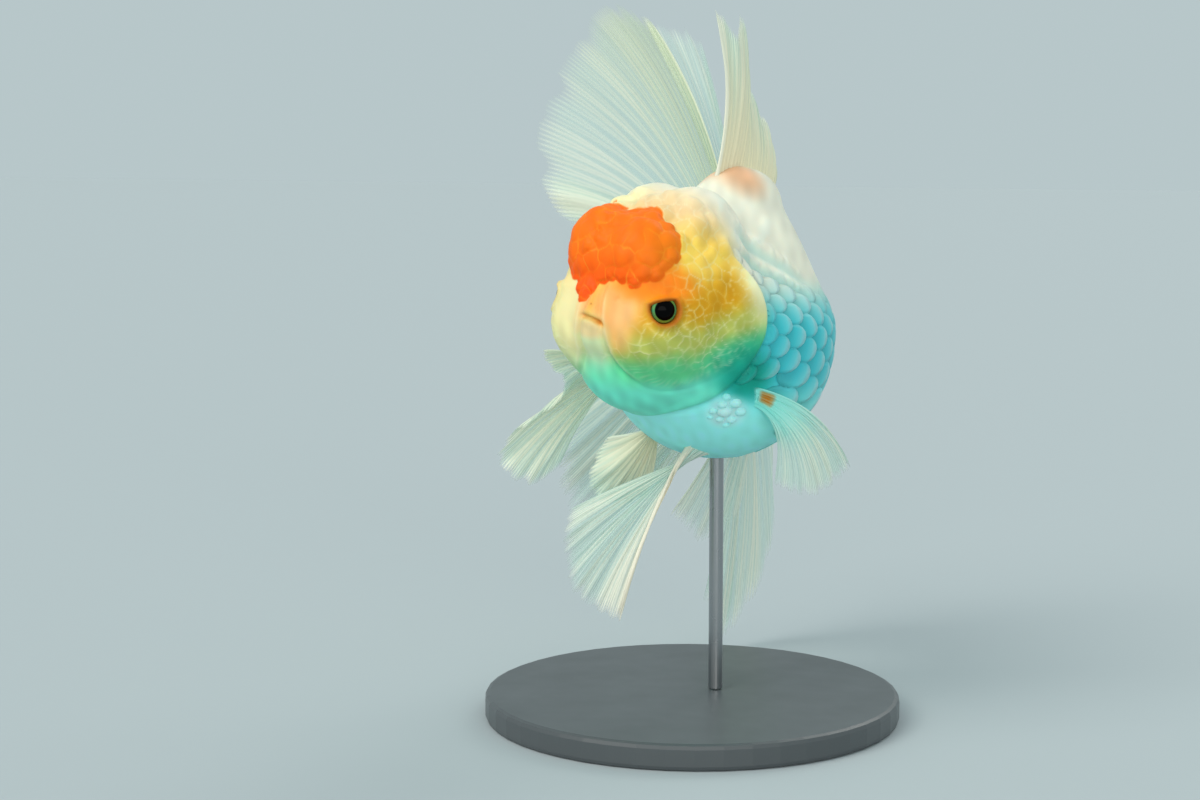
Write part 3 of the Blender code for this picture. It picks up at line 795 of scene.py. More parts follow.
def plain(name, colour, roughness, metallic=0.0, wear=0.08):
    """A Principled surface whose roughness wanders a little with a noise on Object coordinates."""
    made = bpy.data.materials.new(name)
    made.use_nodes = True
    nodes, links = made.node_tree.nodes, made.node_tree.links
    shader = nodes["Principled BSDF"]
    shader.inputs["Base Color"].default_value = (*linear(colour), 1.0)
    shader.inputs["Metallic"].default_value = metallic
    place = nodes.new("ShaderNodeTexCoord")
    noise = nodes.new("ShaderNodeTexNoise")
    noise.inputs["Scale"].default_value = 60.0
    spread = nodes.new("ShaderNodeMapRange")
    spread.inputs["To Min"].default_value = roughness - wear
    spread.inputs["To Max"].default_value = roughness + wear
    links.new(place.outputs["Object"], noise.inputs["Vector"])
    links.new(noise.outputs["Fac"], spread.inputs["Value"])
    links.new(spread.outputs["Result"], shader.inputs["Roughness"])
    return made


# ---------------------------------------------------------------- skin


def eye_reach(p):
    """Distance from the eye's axis, on the nearer side, and the turn round it. The lid lowers the upper
    edge."""
    q = left_twin(p) - np.array(EYE)
    axis = unit(np.array(EYE_AXIS))
    along = (q * axis).sum(-1)
    flat = q - along[..., None] * axis
    across = np.linalg.norm(flat, axis=-1)
    lid = unit(np.array(LID_WAY) - (np.array(LID_WAY) @ axis) * axis)
    upward = (flat @ lid) / np.maximum(across, 1e-6)
    covered = np.clip(EYE_HOLE - LID_EDGE / np.maximum(upward, 0.5), 0, None) * step(across, 7.5, 4.5)
    turn = np.arctan2(flat @ np.cross(axis, lid), flat @ lid)
    return np.where(along > 0, across + covered, 40.0), turn


def mouth_slit(p):
    """Height above the mouth's slit, which slopes and droops at its ends."""
    return p[..., 2] - (MOUTH_Z - MOUTH_TILT * p[..., 1] - MOUTH_DROP * (p[..., 1] / MOUTH_HALF) ** 2)


def cheek_pad(p):
    """Distance outside the ball that bounds the cheek pad."""
    centre, radius = CHEEK_PAD
    return apart(left_twin(p), centre) - radius


def mouth_folds(p):
    """Height of the slit, the lip above it, the lip below it and the pits of the nostrils."""
    front = step(p[..., 0], 9, 6)
    slit = mouth_slit(p)
    wide = step(np.abs(p[..., 1] - MOUTH_Y), MOUTH_HALF + 0.6, MOUTH_HALF - 1.6)
    lips = -1.1 * bell(slit, 0.6) + 0.3 * bell(slit - 1.6, 1.1) + 0.3 * bell(slit + 1.8, 1.3)
    nose = np.hypot(np.abs(p[..., 1]) - NOSTRIL[0], p[..., 2] - NOSTRIL[1])
    return front * (wide * lips - 0.35 * bell(nose, 0.8))


def cheek_folds(p):
    """Height of the cheek pad's edge, sharp in front and soft behind, and of the gill cover's rim with the
    groove behind it."""
    s, z = p[..., 0], p[..., 2]
    pad, rear = cheek_pad(p), behind_rim(p)
    sharp = step(s, 14, 7)
    edge = 0.65 * step(pad, 0.6, -0.8) * sharp + 0.6 * step(pad, 0.8, -3.2) * (1 - sharp)
    groove = 0.5 * bell(pad - 0.9, 0.8) * (0.5 + 0.5 * sharp)
    low = step(z, 9, 3) * (1 - step(s, 20, 30) * (1 - 0.6 * step(z, -4, -14)))
    rim = 0.5 * bell(rear + 2.2, 1.8) - 1.1 * bell(rear - 0.5, 1.0)
    return low * (edge - groove) * step(rear, 0, -4) + step(angle_round(p), 38, 55) * rim


def flank_folds(p):
    """Height of the two folds that run back and down from the gill cover, each beaded by a sine along it and
    with a groove under it."""
    s, off = p[..., 0], above_fold(p)
    start, end = FLANK_FOLD[0], FLANK_FOLD[3]
    along = step(s, start, start + 6) * step(s, end + 6, end - 4) * step(behind_rim(p), 0, 3)
    beads = 0.75 + 0.4 * np.sin(2 * math.pi * s / 3.4 + 1.5 * wander(p, 6.0, 41))
    lower = 0.85 * beads * bell(off - 2.4, 1.7) - 0.8 * bell(off, 1.1)
    upper = 0.7 * beads * bell(off - 9.3, 1.8) - 0.6 * bell(off - 6.2, 1.2)
    return along * (lower + upper)


def folds(p):
    """Height of every fold, with the eyelids and the swellings of brow and cap; the skin dips away in the
    eye's opening."""
    rim, turn = eye_reach(p)
    height = mouth_folds(p) + cheek_folds(p) + flank_folds(p)
    height += (0.5 + 0.8 * step(np.cos(turn), 0.5, 0.95)) * bell(rim - 4.8, 0.8) - 0.25 * bell(rim - 6.4, 0.9)
    middle, width, rise = CAP_SWELL
    height += 2.2 * bell(apart(p, RIGHT_BROW), 3.2) + rise * bell(apart(p, middle), width)
    return np.where(rim < 4.4, height * step(rim, 3.6, 4.4) - 3.4 * step(rim, 4.1, 3.4), height)


def cap_field(flat, seeds, spacing):
    """How far inside the cap a place is, in mm: the cap is a union of balls round its own seeds, which
    scallops its edge, and whatever lies well inside its outline, less the notch."""
    own = inside_pads(seeds, CAP_PADS) > 2.0
    far, which = nearest(flat, seeds[own], 3)
    balls = (0.86 * spacing[own][which] - far).max(1) - 0.4
    inside = np.maximum(balls, 0.45 * inside_pads(flat, CAP_PADS) - 0.6)
    return np.minimum(inside, -0.45 * inside_pads(flat, (CAP_NOTCH,)))


def cheek_lines(p, crease, rear):
    """Strength of the pale lines of the cheek: wavy borders of its cells, wrinkles round the lower eye and
    spokes at the cheek pad's lower edge, which come and go with smooth noise."""
    s, z = p[..., 0], p[..., 2]
    rim, turn = eye_reach(p)
    bare = step(s, 16, 12) * step(z, -5.5, -0.5)
    where = step(s, 2.5, 6.5) * (1 - bare) * step(rear, -2, -9) * step(z, -19, -12) * step(z, 20, 8)
    where = where * (0.6 + 0.4 * step(z, 4, -2))
    fade = 0.4 + 0.6 * step(wander(p, 11.0, 31), -0.8, 0.6)
    width = 0.20 + 0.14 * step(wander(p, 7.0, 33), -1, 1)
    net = where * (bell(crease, width) * fade + 0.25 * bell(crease, 0.9))
    wrinkles = spokes(turn + 0.10 * wander(p, 4.0, 35), 19, 0.13) * bell(rim - 6.6, 1.5)
    wrinkles = wrinkles * step(np.cos(turn), 0.35, -0.2) * (1 - 0.7 * bare)
    pad = cheek_pad(p)
    around = np.arctan2(s - CHEEK_PAD[0][0], CHEEK_PAD[0][2] - z)
    hem = spokes(around + 0.02 * wander(p, 5.0, 37), 74, 0.16) * bell(pad + 2.6, 1.5)
    hem = hem * step(z, -9, -13) * step(s, 6, 10)
    edge = bell(pad + 0.5, 0.55) * step(s, 13, 8) * step(z, 5, 0)
    return np.clip(net + 0.8 * wrinkles + 0.55 * hem + 0.6 * edge, 0, 1)


def growth_seeds(flat, rear, sizes):
    """Seeded darts over every sixth point of the head, spaced for the cap's lobules, the crown's cobbles and
    the cheek's cells, which are wider in front."""
    places = flat[::6][rear[::6] < 4]
    capped = inside_pads(places, CAP_PADS)
    wide = 1.0 + 0.45 * step(places[:, 0], 20, 10) * step(places[:, 2], 0, -4)
    spacing = sizes.cobble + (sizes.crackle * wide - sizes.cobble) * step(places[:, 2], 12, 3)
    spacing = np.where(capped > -1.0, sizes.lobule * np.where(capped < 6, 0.62, 0.85), spacing)
    return scatter(places, spacing / MM, 11)


def crown_lobes(flat, rear, sizes):
    """Large soft bumps over the top of the head, from 0 to 1"""
    high = flat[::9][(rear[::9] < 3) & (flat[::9, 2] > 6)]
    seeds, spacing = scatter(high, np.full(len(high), sizes.lobe / MM), 8)
    lobes = domes(stirred(flat, 8.0, 0.5, 27), seeds, spacing, soft=0.5)[0]
    return lobes * step(flat[:, 2], 14, 26) * step(rear, 1.5, -1.5)


def back_lumps(flat, rear):
    """Height of the back's low lumps and of the ripples on its shoulder, and the strength of a painted
    highlight on the ripples' tops."""
    s, y, z = flat.T
    behind = flat[::9][flat[::9, 0] > 34]
    lumps = domes(flat, *scatter(behind, np.full(len(behind), 4.6), 2), soft=0.9)[0]
    on_back = step(rear, 0.5, 5.0) * step(z, 4, 12)
    shoulder = on_back * step(s, 68, 56) * step(np.abs(y), 6, 16)
    wave = np.sin(2 * math.pi * (0.55 * s - 0.85 * z + 1.5 * lumps) / 9.0)
    return 0.07 * on_back * lumps + 0.1 * shoulder * wave, 0.15 * shoulder * step(wave, 0.2, 1.0)


def skin_paint(flat, crease, inside, cap, crown, line, colours):
    """Display colours of the skin: the markings, the pale lines between cells, the cap with a blush under it,
    and painted shade in the mouth's slit and round the eyes' rims."""
    s, y, z = flat.T
    paint = mix(markings(flat, colours), colours.line, 0.46 * line)
    paint = mix(paint, colours.line, 0.35 * bell(crease, 0.35) * crown * step(s, 3, 12))
    paint = mix(paint, colours.orange, 0.6 * step(inside, -5.5, 0.0) * step(z, 18, 8) * step(y, 2, 9))
    red = mix(colours.cap, colours.cap_deep, step(z, 19, 4))
    red = mix(red, colours.gold, 0.28 * step(y, 8, 19))
    red = mix(red, colours.yellow, 0.13 * bell(crease, 0.35) * (1 + wander(flat, 9.0, 43)))
    paint = mix(paint, red, cap)
    lip = step(np.abs(y - MOUTH_Y), MOUTH_HALF + 1.0, MOUTH_HALF - 1.5) * step(s, 9, 6)
    # Painted shade in the mouth's slit, darkest at its left corner
    paint = mix(paint, colours.lip, lip * bell(mouth_slit(flat), 0.85) * (0.315 + 0.385 * step(y, 0, 3.5)))
    # Painted shade round the eye's opening, stronger on the left side
    paint = mix(paint, colours.socket_shade, bell(eye_reach(flat)[0] - 4.1, 0.85) * np.where(y > 0, 0.85, 0.4))
    return paint * (1 + 0.025 * wander(flat, 6.0, 45))[:, None]


def relief(points, sizes, colours):
    """Heights and display colours of the skin. Seeded darts over the head give round bumps, with pale lines
    where two seeds are equally near; the cap stands out of the crown with a scalloped edge."""
    flat = points.reshape(-1, 3)
    s, z = flat[:, 0], flat[:, 2]
    rear = behind_rim(flat)
    seeds, spacing = growth_seeds(flat, rear, sizes)
    dome, crease, which = domes(stirred(flat, 5.5, 0.55, 21), seeds, spacing)
    wild = np.random.default_rng(5).uniform(0.5, 1.3, len(seeds))[which]
    inside = cap_field(stirred(flat, 4.0, 0.2, 23), seeds, spacing)
    cap = step(inside, -0.12, 0.22)
    on_head = step(rear, 0.5, -2.0)
    clear = step(eye_reach(flat)[0], 4.8, 6.8)
    crown = step(z, 2, 14) * on_head * (1 - cap) * clear
    cheeks = on_head * (1 - crown) * (1 - cap) * step(z, -22, -14) * clear * step(rear, -1, -7)
    line = cheek_lines(flat, crease, rear) * (1 - cap) * on_head
    growth = (
        sizes.cobble_height * dome * wild * (crown + cheeks * (0.06 + 0.24 * step(s, 1, 9)))
        + sizes.lobule_height * dome * cap * 0.8
        + sizes.cap_height * step(inside, -0.2, 1.8)
        + sizes.lobe_height * crown_lobes(flat, rear, sizes) * (1 - 0.6 * cap)
        + sizes.crackle_height * line
        - sizes.scale_depth * step(rear, 0.0, 2.5) * step(z, 26, 14)
    )
    lumps, pale = back_lumps(flat, rear)
    height = folds(flat) + growth / MM + lumps - SKIN_DEPTH
    paint = skin_paint(flat, crease, inside, cap, crown, line, colours)
    # Painted highlight on the tops of the shoulder's ripples
    paint = mix(paint, colours.highlight_and_pearl, pale)
    off = above_fold(flat)
    # Painted shade in the creases of the flank folds, in the fins' colour
    crease_shade = (bell(off - 0.3, 1.8) + 0.8 * bell(off - 6.2, 2.0)) * step(s, 38, 46) * step(s, 72, 60)
    paint = mix(paint, colours.fin, 0.5 * crease_shade * step(rear, 0, 3))
    return height.reshape(points.shape[:-1]), paint.reshape(points.shape)


def make_skin(sizes, colours):
    """The bare body's grid moved along its normals by relief(), closed by a point at the snout and one at the
    tail."""
    points, normals, _ = body_surface(sizes.head_rows, sizes.trunk_rows, sizes.columns)
    height, paint = relief(points, sizes, colours)
    shaped = points + normals * height[..., None]
    rows, columns = height.shape
    flat = np.concatenate([shaped[1:].reshape(-1, 3), shaped[1:2].mean(1), shaped[-1:].mean(1)])
    shade = np.concatenate([paint[1:].reshape(-1, 3), paint[0, :1], paint[-1, :1]])
    faces = closed_faces(rows - 1, columns)
    surface = painted("goldfish_skin", 0.6, coat=0.03, bump=0.08, grain=1400.0, subsurface=0.2)
    return new_piece("skin", bend(flat), faces, surface, with_alpha(shade))


# ---------------------------------------------------------------- scales


def plate_faces(side):
    """Faces of a square grid over the same grid reversed, joined by a rim"""
    count = (side + 1) ** 2
    number = np.arange(count).reshape(side + 1, side + 1)
    rim = np.concatenate([number[0, :-1], number[:-1, -1], number[-1, :0:-1], number[:0:-1, 0]])
    ahead = np.roll(rim, -1)
    top = grid_faces(side + 1, side + 1, False)
    return np.concatenate([top, top[:, ::-1] + count, np.stack([rim, ahead, ahead + count, rim + count], -1)])


def read_table(table, station, turn, stations):
    """Bilinear reading of a table over stations and turns round the body."""
    columns = table.shape[1]
    row = np.clip(np.interp(station, stations, np.arange(len(stations))), 0, len(stations) - 1.001)
    column = (turn % 1.0) * columns
    r, c = row.astype(int), column.astype(int) % columns
    fr, fc = (row - r)[..., None], (column - np.floor(column))[..., None]
    n = (c + 1) % columns
    near = table[r, c] * (1 - fc) + table[r, n] * fc
    return near * (1 - fr) + (table[r + 1, c] * (1 - fc) + table[r + 1, n] * fc) * fr


def scale_places(points, stations, sizes):
    """Station and turn of every plate's middle, and the pitch of its ring: rings are spaced by the height of
    their plates, and each is half a plate out of step with the last."""
    girth = np.linalg.norm(np.roll(points, -1, 1) - points, axis=-1).sum(1)
    rings, s = [], SCALES_FROM
    while s < BODY_END - 4:
        high = np.interp(s, stations, girth) / sizes.scales_round
        pitch = max(sizes.scale_pitch * high, LEAST_PITCH)
        rings.append((s, pitch))
        s += pitch
    rings, in_ring = np.array(rings), np.arange(sizes.scales_round)
    turn = (in_ring[None, :] + 0.5 * (np.arange(len(rings)) % 2)[:, None]) / sizes.scales_round
    station, pitch = (np.broadcast_to(column[:, None], turn.shape) for column in rings.T)
    return station.ravel(), turn.ravel(), pitch.ravel()


def above_border(p):
    """Height above the upper border of the scales, which leaves the flank fold's line towards the tail"""
    return above_fold(p) - np.interp(p[..., 0], *zip(*SCALE_BORDER))


def make_scales(sizes, colours):
    """Plates on the flanks and the tail stem, in two pieces. A plate is a disc from a square grid (x = u
    sqrt(1 - v^2/2), y = v sqrt(1 - u^2/2)) whose rear edge rises from the skin, closed by the same disc
    below it. It sinks into the skin under the gill cover's rim and at the upper border."""
    points, normals, stations = body_surface(sizes.head_rows, sizes.trunk_rows, sizes.columns)
    points, normals = points[sizes.head_rows :], normals[sizes.head_rows :]
    station, turn, pitch = scale_places(points, stations, sizes)
    root = read_table(points, station, turn, stations)
    breast = (root[:, 2] < -27) & (root[:, 0] < 66) | (oval(root, PEARLS[0], (10, 12, 9)) > 0.3)
    keep = (behind_rim(root) > -1.0) & (above_border(root) < 0) & ~breast
    keep = keep & (oval(root, (47, 27, -22), (6, 8, 6)) < 0.3)
    station, turn, pitch, root = station[keep], turn[keep], pitch[keep], root[keep]
    flush = np.clip(step(above_fold(root), 9, -4), 0.3, 1.0)
    flush = (flush * np.clip(step(behind_rim(root), -1, 6), 0.45, 1.0))[:, None, None]
    line = np.linspace(-1, 1, SCALE_SIDE + 1)
    u, v = np.meshgrid(line, line, indexing="ij")
    x, y = u * np.sqrt(1 - v**2 / 2), v * np.sqrt(1 - u**2 / 2)
    edge = np.hypot(x, y)
    place = (
        station[:, None, None] + x * SCALE_LENGTH * pitch[:, None, None],
        turn[:, None, None] + y * SCALE_WIDTH / sizes.scales_round,
    )
    base, outward = (read_table(table, *place, stations) for table in (points, normals))
    lift = (0.35 + sizes.scale_rise / MM * flush) * step(x, -0.9, 1.1) - 0.35 + 0.08 * (1 - y**2)
    lift = lift - 3.0 * step(behind_rim(base), 1.6, -0.6) - 0.55 * step(above_border(base), -6.0, 2.0)
    top = base + outward * lift[..., None]
    bottom = base + outward * (lift - 0.20 - 0.25 * (1 - edge))[..., None]
    # Painted shade on the front of each plate, under the free edge of the plate before it
    shade = markings(top, colours) * (1 - 0.13 * step(x, 0.3, -0.5) * flush)[..., None]
    # Painted highlight along each plate's free rear edge, brightest at its outline
    light = step(x - 0.25 * y**2, 0.0, 0.95) * flush**1.5
    shade = mix(shade, colours.highlight_and_pearl, light * (0.40 + 0.34 * step(edge, 0.7, 1.0)))
    count = edge.size
    middle = np.stack([turn % 1.0, (station - HEAD_S) / (BODY_END - HEAD_S)], -1)
    patch = np.stack([y.ravel(), x.ravel()], -1) * BAKE_PATCH / 2
    surface = painted("goldfish_scale", 0.5, coat=0.05, bump=0.05, grain=700.0, subsurface=0.12)
    made = []
    for word, chosen in (("left", root[:, 1] >= 0), ("right", root[:, 1] < 0)):
        shell = np.concatenate([sheet[chosen].reshape(-1, count, 3) for sheet in (top, bottom)], 1)
        paint = np.concatenate([shade[chosen].reshape(-1, count, 3)] * 2, 1)
        faces = plate_faces(SCALE_SIDE)[None] + (np.arange(len(shell)) * 2 * count)[:, None, None]
        uv = 0.01 + 0.98 * middle[chosen][:, None, :] + np.concatenate([patch, patch])[None]
        name, paint = f"scales_{word}", with_alpha(paint.reshape(-1, 3))
        points_out, faces = bend(shell.reshape(-1, 3)), [faces.reshape(-1, 4)]
        made.append(new_piece(name, points_out, faces, surface, paint, uv.reshape(-1, 2)))
    return made


# ---------------------------------------------------------------- pearls


def ball(rings, turns):
    """Unit ball as a grid of angle from its pole by turn round it, with a point at each pole, and its
    faces."""
    angle = np.linspace(0, math.pi, rings + 2)[1:-1, None]
    turn = np.linspace(0, 2 * math.pi, turns, endpoint=False)[None, :]
    across = np.sin(angle)
    body = np.stack([across * np.cos(turn), across * np.sin(turn), np.cos(angle) + 0 * turn], -1)
    return np.concatenate([body.reshape(-1, 3), [[0, 0, 1], [0, 0, -1]]]), closed_faces(rings, turns)


def make_pearls(sizes, colours):
    """Seeded balls sunk in the skin round the middle of the cluster, each overlapping the next. Towards the
    rim of the cluster they grow smaller, sink deeper and take the belly's colour."""
    points, normals, _ = body_surface(sizes.head_rows, sizes.trunk_rows, sizes.columns)
    flat, out = points.reshape(-1, 3), normals.reshape(-1, 3)
    centre, radius = PEARLS
    far = apart(flat, centre)
    near = np.flatnonzero(far < radius)
    seeds, _ = scatter(flat[near], np.full(len(near), sizes.pearl / MM), 3)
    at = np.array([near[np.argmin(apart(flat[near], seed))] for seed in seeds])
    rim = (far[at] / radius) ** 2
    size = sizes.pearl / MM * (1.05 - 0.5 * rim) * np.random.default_rng(4).uniform(0.6, 1.1, len(at))
    placed = flat[at] - out[at] * (0.2 + (0.55 + 0.2 * rim) * size)[:, None]
    shape, blocks = ball(7, 12)
    shell = placed[:, None, :] + shape[None] * size[:, None, None] * (1, 1, 0.85)
    start = (np.arange(len(at)) * len(shape))[:, None, None]
    faces = [(block[None] + start).reshape(-1, block.shape[1]) for block in blocks]
    paint = mix(colours.highlight_and_pearl, colours.belly, 0.2 + 0.6 * rim[:, None] + 0 * shell[..., 0])
    surface = painted("goldfish_pearl", 0.65, subsurface=0.3)
    return new_piece("pearls", bend(shell.reshape(-1, 3)), faces, surface, with_alpha(paint.reshape(-1, 3)))


# ---------------------------------------------------------------- eyes


def make_eyes(colours):
    """Two balls, each turned so that its pole looks along the eye's axis. The cornea swells the front by a
    bell of the angle from that axis, and the angle picks pupil, iris or the dark rim, which is painted shade
    where the ball sits in its socket."""
    shape, blocks = ball(54, 72)
    angle = np.arccos(np.clip(shape[:, 2], -1, 1))
    turn = np.arctan2(shape[:, 1], shape[:, 0])
    degrees = np.degrees(angle)
    fleck = 0.5 + 0.5 * np.sin(23 * turn + 3 * np.sin(5 * turn)) * step(degrees, 30, 44)
    shade = mix(colours.iris, colours.iris_cool, np.cos(turn) ** 2)
    shade = mix(shade, colours.gold, 0.25 * fleck)
    # Painted shade: the ball beyond the iris, where it sits in the socket, is dark
    shade = mix(shade, 0.35 * np.array(colours.socket_shade), step(degrees, IRIS_ANGLE - 3, IRIS_ANGLE + 3))
    shade = mix(shade, PUPIL_COLOUR, step(degrees, PUPIL_ANGLE + 0.7, PUPIL_ANGLE - 0.7))
    size = EYE_RADIUS - 0.1 + CORNEA * bell(angle, 0.55)
    points = []
    for side in (1, -1):
        mirror = np.array([1.0, side, 1.0])
        axis = unit(np.array(EYE_AXIS)) * mirror
        right = unit(np.cross(axis, (0.0, 0.0, 1.0)))
        turned_shape = shape @ np.stack([right, np.cross(right, axis), axis])
        points.append(bend(size[:, None] * turned_shape + np.array(EYE) * mirror))
    faces = [block + start for start in (0, len(shape)) for block in blocks]
    surface = painted("goldfish_eye", 0.1, gloss=0.05)
    paint = with_alpha(np.concatenate([shade, shade]))
    return new_piece("eyes", np.concatenate(points), faces, surface, paint)


# ---------------------------------------------------------------- fins


def aim(heading, rise):
    """World direction from a heading, 0 straight back and positive to the left, and a rise, in degrees."""
    h, r = np.radians(heading), np.radians(rise)
    return np.stack([np.sin(h) * np.cos(r), np.cos(h) * np.cos(r), np.sin(r)], -1)


def fork(u, t, bones):
    """How near each place is to a bony ray, 1 on it. Each of the rays splits in two and again in two towards
    the edge: its four branches stand at 0.5 +- a quarter +- an eighth of its strip, each spread growing with
    t."""
    x = (u * bones) % 1.0
    first, second = 0.25 * step(t, 0.22, 0.95), 0.125 * step(t, 0.5, 1.0)
    width = 0.17 - 0.09 * t
    near = np.zeros_like(x + t)
    for a in (-1, 1):
        for b in (-1, 1):
            near = np.maximum(near, bell(x - (0.5 + a * first + b * second), width))
    return near


def sheet_normals(points):
    """Unit normals of a grid of points, from the cross product of its slopes"""
    return unit(np.cross(np.gradient(points, axis=0), np.gradient(points, axis=1)))


def ragged_edge(fin, u, seed):
    """How far each ray reaches, from 0 to 1: the edge is cut back between the rays' tips, in a few seeded
    nicks and in the fin's own notch."""
    chance = np.random.default_rng(seed)
    waves = sum(
        chance.uniform(0.3, 1) * np.sin(2 * math.pi * (chance.uniform(3, 15) * u + chance.uniform()))
        for _ in range(7)
    )
    tips = fork(u[:, None], np.ones((1, 1)), fin["bones"])[:, 0]
    place, depth, width = fin.get("notch", (0.0, 0.0, 1.0))
    return 1 - 0.012 * (1 - tips) - 0.014 * np.clip(waves + 0.4, 0, 3) - depth * bell(u - place, width)


def fin_points(fin, u, t, seed):
    """Middle sheet of a fin and its normals, in millimetres of the world. Ray directions and lengths flow
    from the leading to the trailing ray; each ray bows in its middle, and the sheet folds and ruffles
    towards its edge."""
    across = u[:, 0]
    root = bend(np.stack([np.interp(across, [0, 1], pair) for pair in zip(*fin["root"])], -1)) / MM
    knots = np.linspace(0, 1, len(fin["rays"]))
    heading, rise, size = (smooth_table(across, knots, column) for column in zip(*fin["rays"]))
    t = t * ragged_edge(fin, across, seed)[:, None]
    bow_heading, bow_rise, bow = fin["bow"]
    points = root[:, None, :] + aim(heading, rise)[:, None, :] * (size[:, None] * t)[..., None]
    points = points + aim(bow_heading, bow_rise) * (bow * 4 * t * (1 - t))[..., None]
    count, depth, phase = fin["folds"]
    grown = np.clip(t, 0, 1)
    fold = depth * np.sin(2 * math.pi * (count * u + phase)) * grown**1.5
    fold = fold + 0.5 * np.sin(2 * math.pi * (count * 3.7 * u + 0.5 * t + phase)) * grown**1.2
    fold = fold + 0.25 * np.sin(2 * math.pi * (count * 8.3 * u - 0.4 * t)) * grown
    fold = fold + 0.2 * np.sin(2 * math.pi * (2.2 * t + 5 * u)) * grown**2
    points = points + sheet_normals(points) * fold[..., None]
    return points, sheet_normals(points)


def fin_paint(fin, u, t, rib, lead, colours, seed):
    """Display colours and opacity of a fin's sheet. Strands of rays are whiter and denser than the membrane
    between them, and the sheet thins out to bare ray tips at its edge."""
    place = np.stack([u * 3.2 * fin["bones"] + 0.7 * t, 0.8 * t + 0 * u, 0 * t + 0 * u + seed], -1)
    strand = step(wander(place, 9.0, 50 + seed) + 0.5 * wander(place, 3.2, 70 + seed), -0.9, 1.0)
    strand = 0.5 + (strand - 0.5) * fin.get("strands", 1.0)
    warm = fin.get("warm", 0.0)
    hem_place, hem_wide, bright = fin.get("hem", (0.0, 1.0, 0.0))
    hem = bright * bell(u - hem_place, hem_wide) * step(t, 0.1, 0.5)
    shade = mix(colours.fin, colours.ray, np.clip(0.35 + 0.35 * rib + 0.3 * strand, 0, 1))
    shade = mix(shade, colours.olive, fin.get("olive", 0.0) * step(u, 0.7, 0.1))
    shade = mix(shade, colours.cream, fin.get("cream", 0.0) * step(t, 1.3, 0.2))
    leading = mix(colours.ray, colours.ray_warm, warm)
    shade = mix(shade, leading, np.clip(lead + warm * 0.5 * bell(u - 0.08, 0.1), 0, 1))
    spot = 0.0
    if "spot" in fin:
        out, turn = fin["spot"]
        spot = step(np.maximum(np.abs(t - out) / 0.052, np.abs(u - turn) / 0.24), 1.4, 0.6)
        shade = mix(shade, colours.spot, spot * (0.8 + 0.2 * np.sin(2 * math.pi * 9 * u)))
    shade = mix(shade, colours.ray, hem)
    solid = 0.30 + 0.22 * rib * (1 - 0.35 * t) + 0.18 * strand - 0.08 * step(t, 0.2, 0.9)
    solid = np.clip(fin.get("body", 1.0) * solid, 0, 0.95) + 0.6 * bell(np.clip(t, 0, 1), 0.12) + lead + hem
    if "blend" in fin:
        near = step(t, fin["blend"], 0.02)
        shade = mix(shade, colours.belly, 0.9 * near * (1 - spot))
        solid = (solid + near) * step(t + 0.5 * u, 0.0, 0.16)
    return shade, np.clip(solid * (0.12 + 0.88 * step(t, 1.0, 0.86 + 0.10 * rib)), 0, 1)


def sheet_faces(across, along):
    """Faces of a grid of rows that each run out along one side of a sheet and back along the other, closed by
    strips over the first row and the last one"""
    columns = 2 * along
    start = np.arange(along - 1)
    faces = [grid_faces(across, columns, True)]
    for row, turn in ((0, 1), (across - 1, -1)):
        at = row * columns + start
        far = (row + 1) * columns - start
        faces.append(np.stack([at, at + 1, far - 2, far - 1], -1)[:, ::turn])
    return faces


def make_fin(name, fin, sizes, colours, surface, seed):
    """A closed sheet: the middle sheet moved out to both sides by half its thickness, which is the
    membrane's plus the rays' ridges, the leading ray and a fleshy root, and which thins towards every
    edge."""
    across, along = RAY_POINTS * fin["bones"] + 1, FIN_POINTS
    u = np.linspace(0, 1, across)[:, None]
    deep = fin.get("deep", 0.0)
    t = np.linspace(0, 1, along)[None, :] ** 0.9 * (1 + deep) - deep
    middle, normal = fin_points(fin, u, t, seed)
    rib = fork(u, t, fin["bones"])
    lead_wide, lead_thick = fin.get("lead", (0.02, 0.25))
    lead = bell(u - 0.4 * lead_wide, lead_wide) * (1 - 0.35 * t)
    thick = (sizes.membrane / 2 + sizes.ray_height * rib * (1.15 - 0.8 * t)) / MM
    thick = thick + lead_thick * lead * (1 - 0.6 * t) + fin.get("fleshy", 0.55) * bell(np.clip(t, 0, 1), 0.09)
    thick = thick * np.clip(np.minimum(u, 1 - u) * across / 2, 0.4, 1) * np.clip((1 - t) * along / 2, 0.5, 1)
    out = normal * thick[..., None]
    shell = np.concatenate([middle + out, (middle - out)[:, ::-1]], 1)
    shade, solid = fin_paint(fin, u, t, rib, lead, colours, seed)
    shade, solid = (np.concatenate([sheet, sheet[:, ::-1]], 1) for sheet in (shade, solid))
    paint = with_alpha(shade.reshape(-1, 3), solid.ravel())
    faces = sheet_faces(across, along)
    return new_piece(f"{name}_membrane", shell.reshape(-1, 3) * MM, faces, surface, paint)


# ---------------------------------------------------------------- operators


class GoldfishOperator:
    """What every step of the build shares"""

    bl_options = {"REGISTER", "UNDO"}

    def execute(self, context):
        self.build(context.scene.goldfish_sizes, context.scene.goldfish_colours)
        return {"FINISHED"}


class GOLDFISH_OT_skin(GoldfishOperator, bpy.types.Operator):
    """Adds the skin, which replaces every solid of the flesh"""

    bl_idname = "goldfish.skin"
    bl_label = "Add skin"

    def build(self, sizes, colours):
        made = make_skin(sizes, colours)
        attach(made, "root")
        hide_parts(*FLESH)


class GOLDFISH_OT_scales(GoldfishOperator, bpy.types.Operator):
    """Adds the scales over the skin of the flanks and the tail stem"""

    bl_idname = "goldfish.scales"
    bl_label = "Add scales"

    def build(self, sizes, colours):
        for made in make_scales(sizes, colours):
            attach(made, "root")


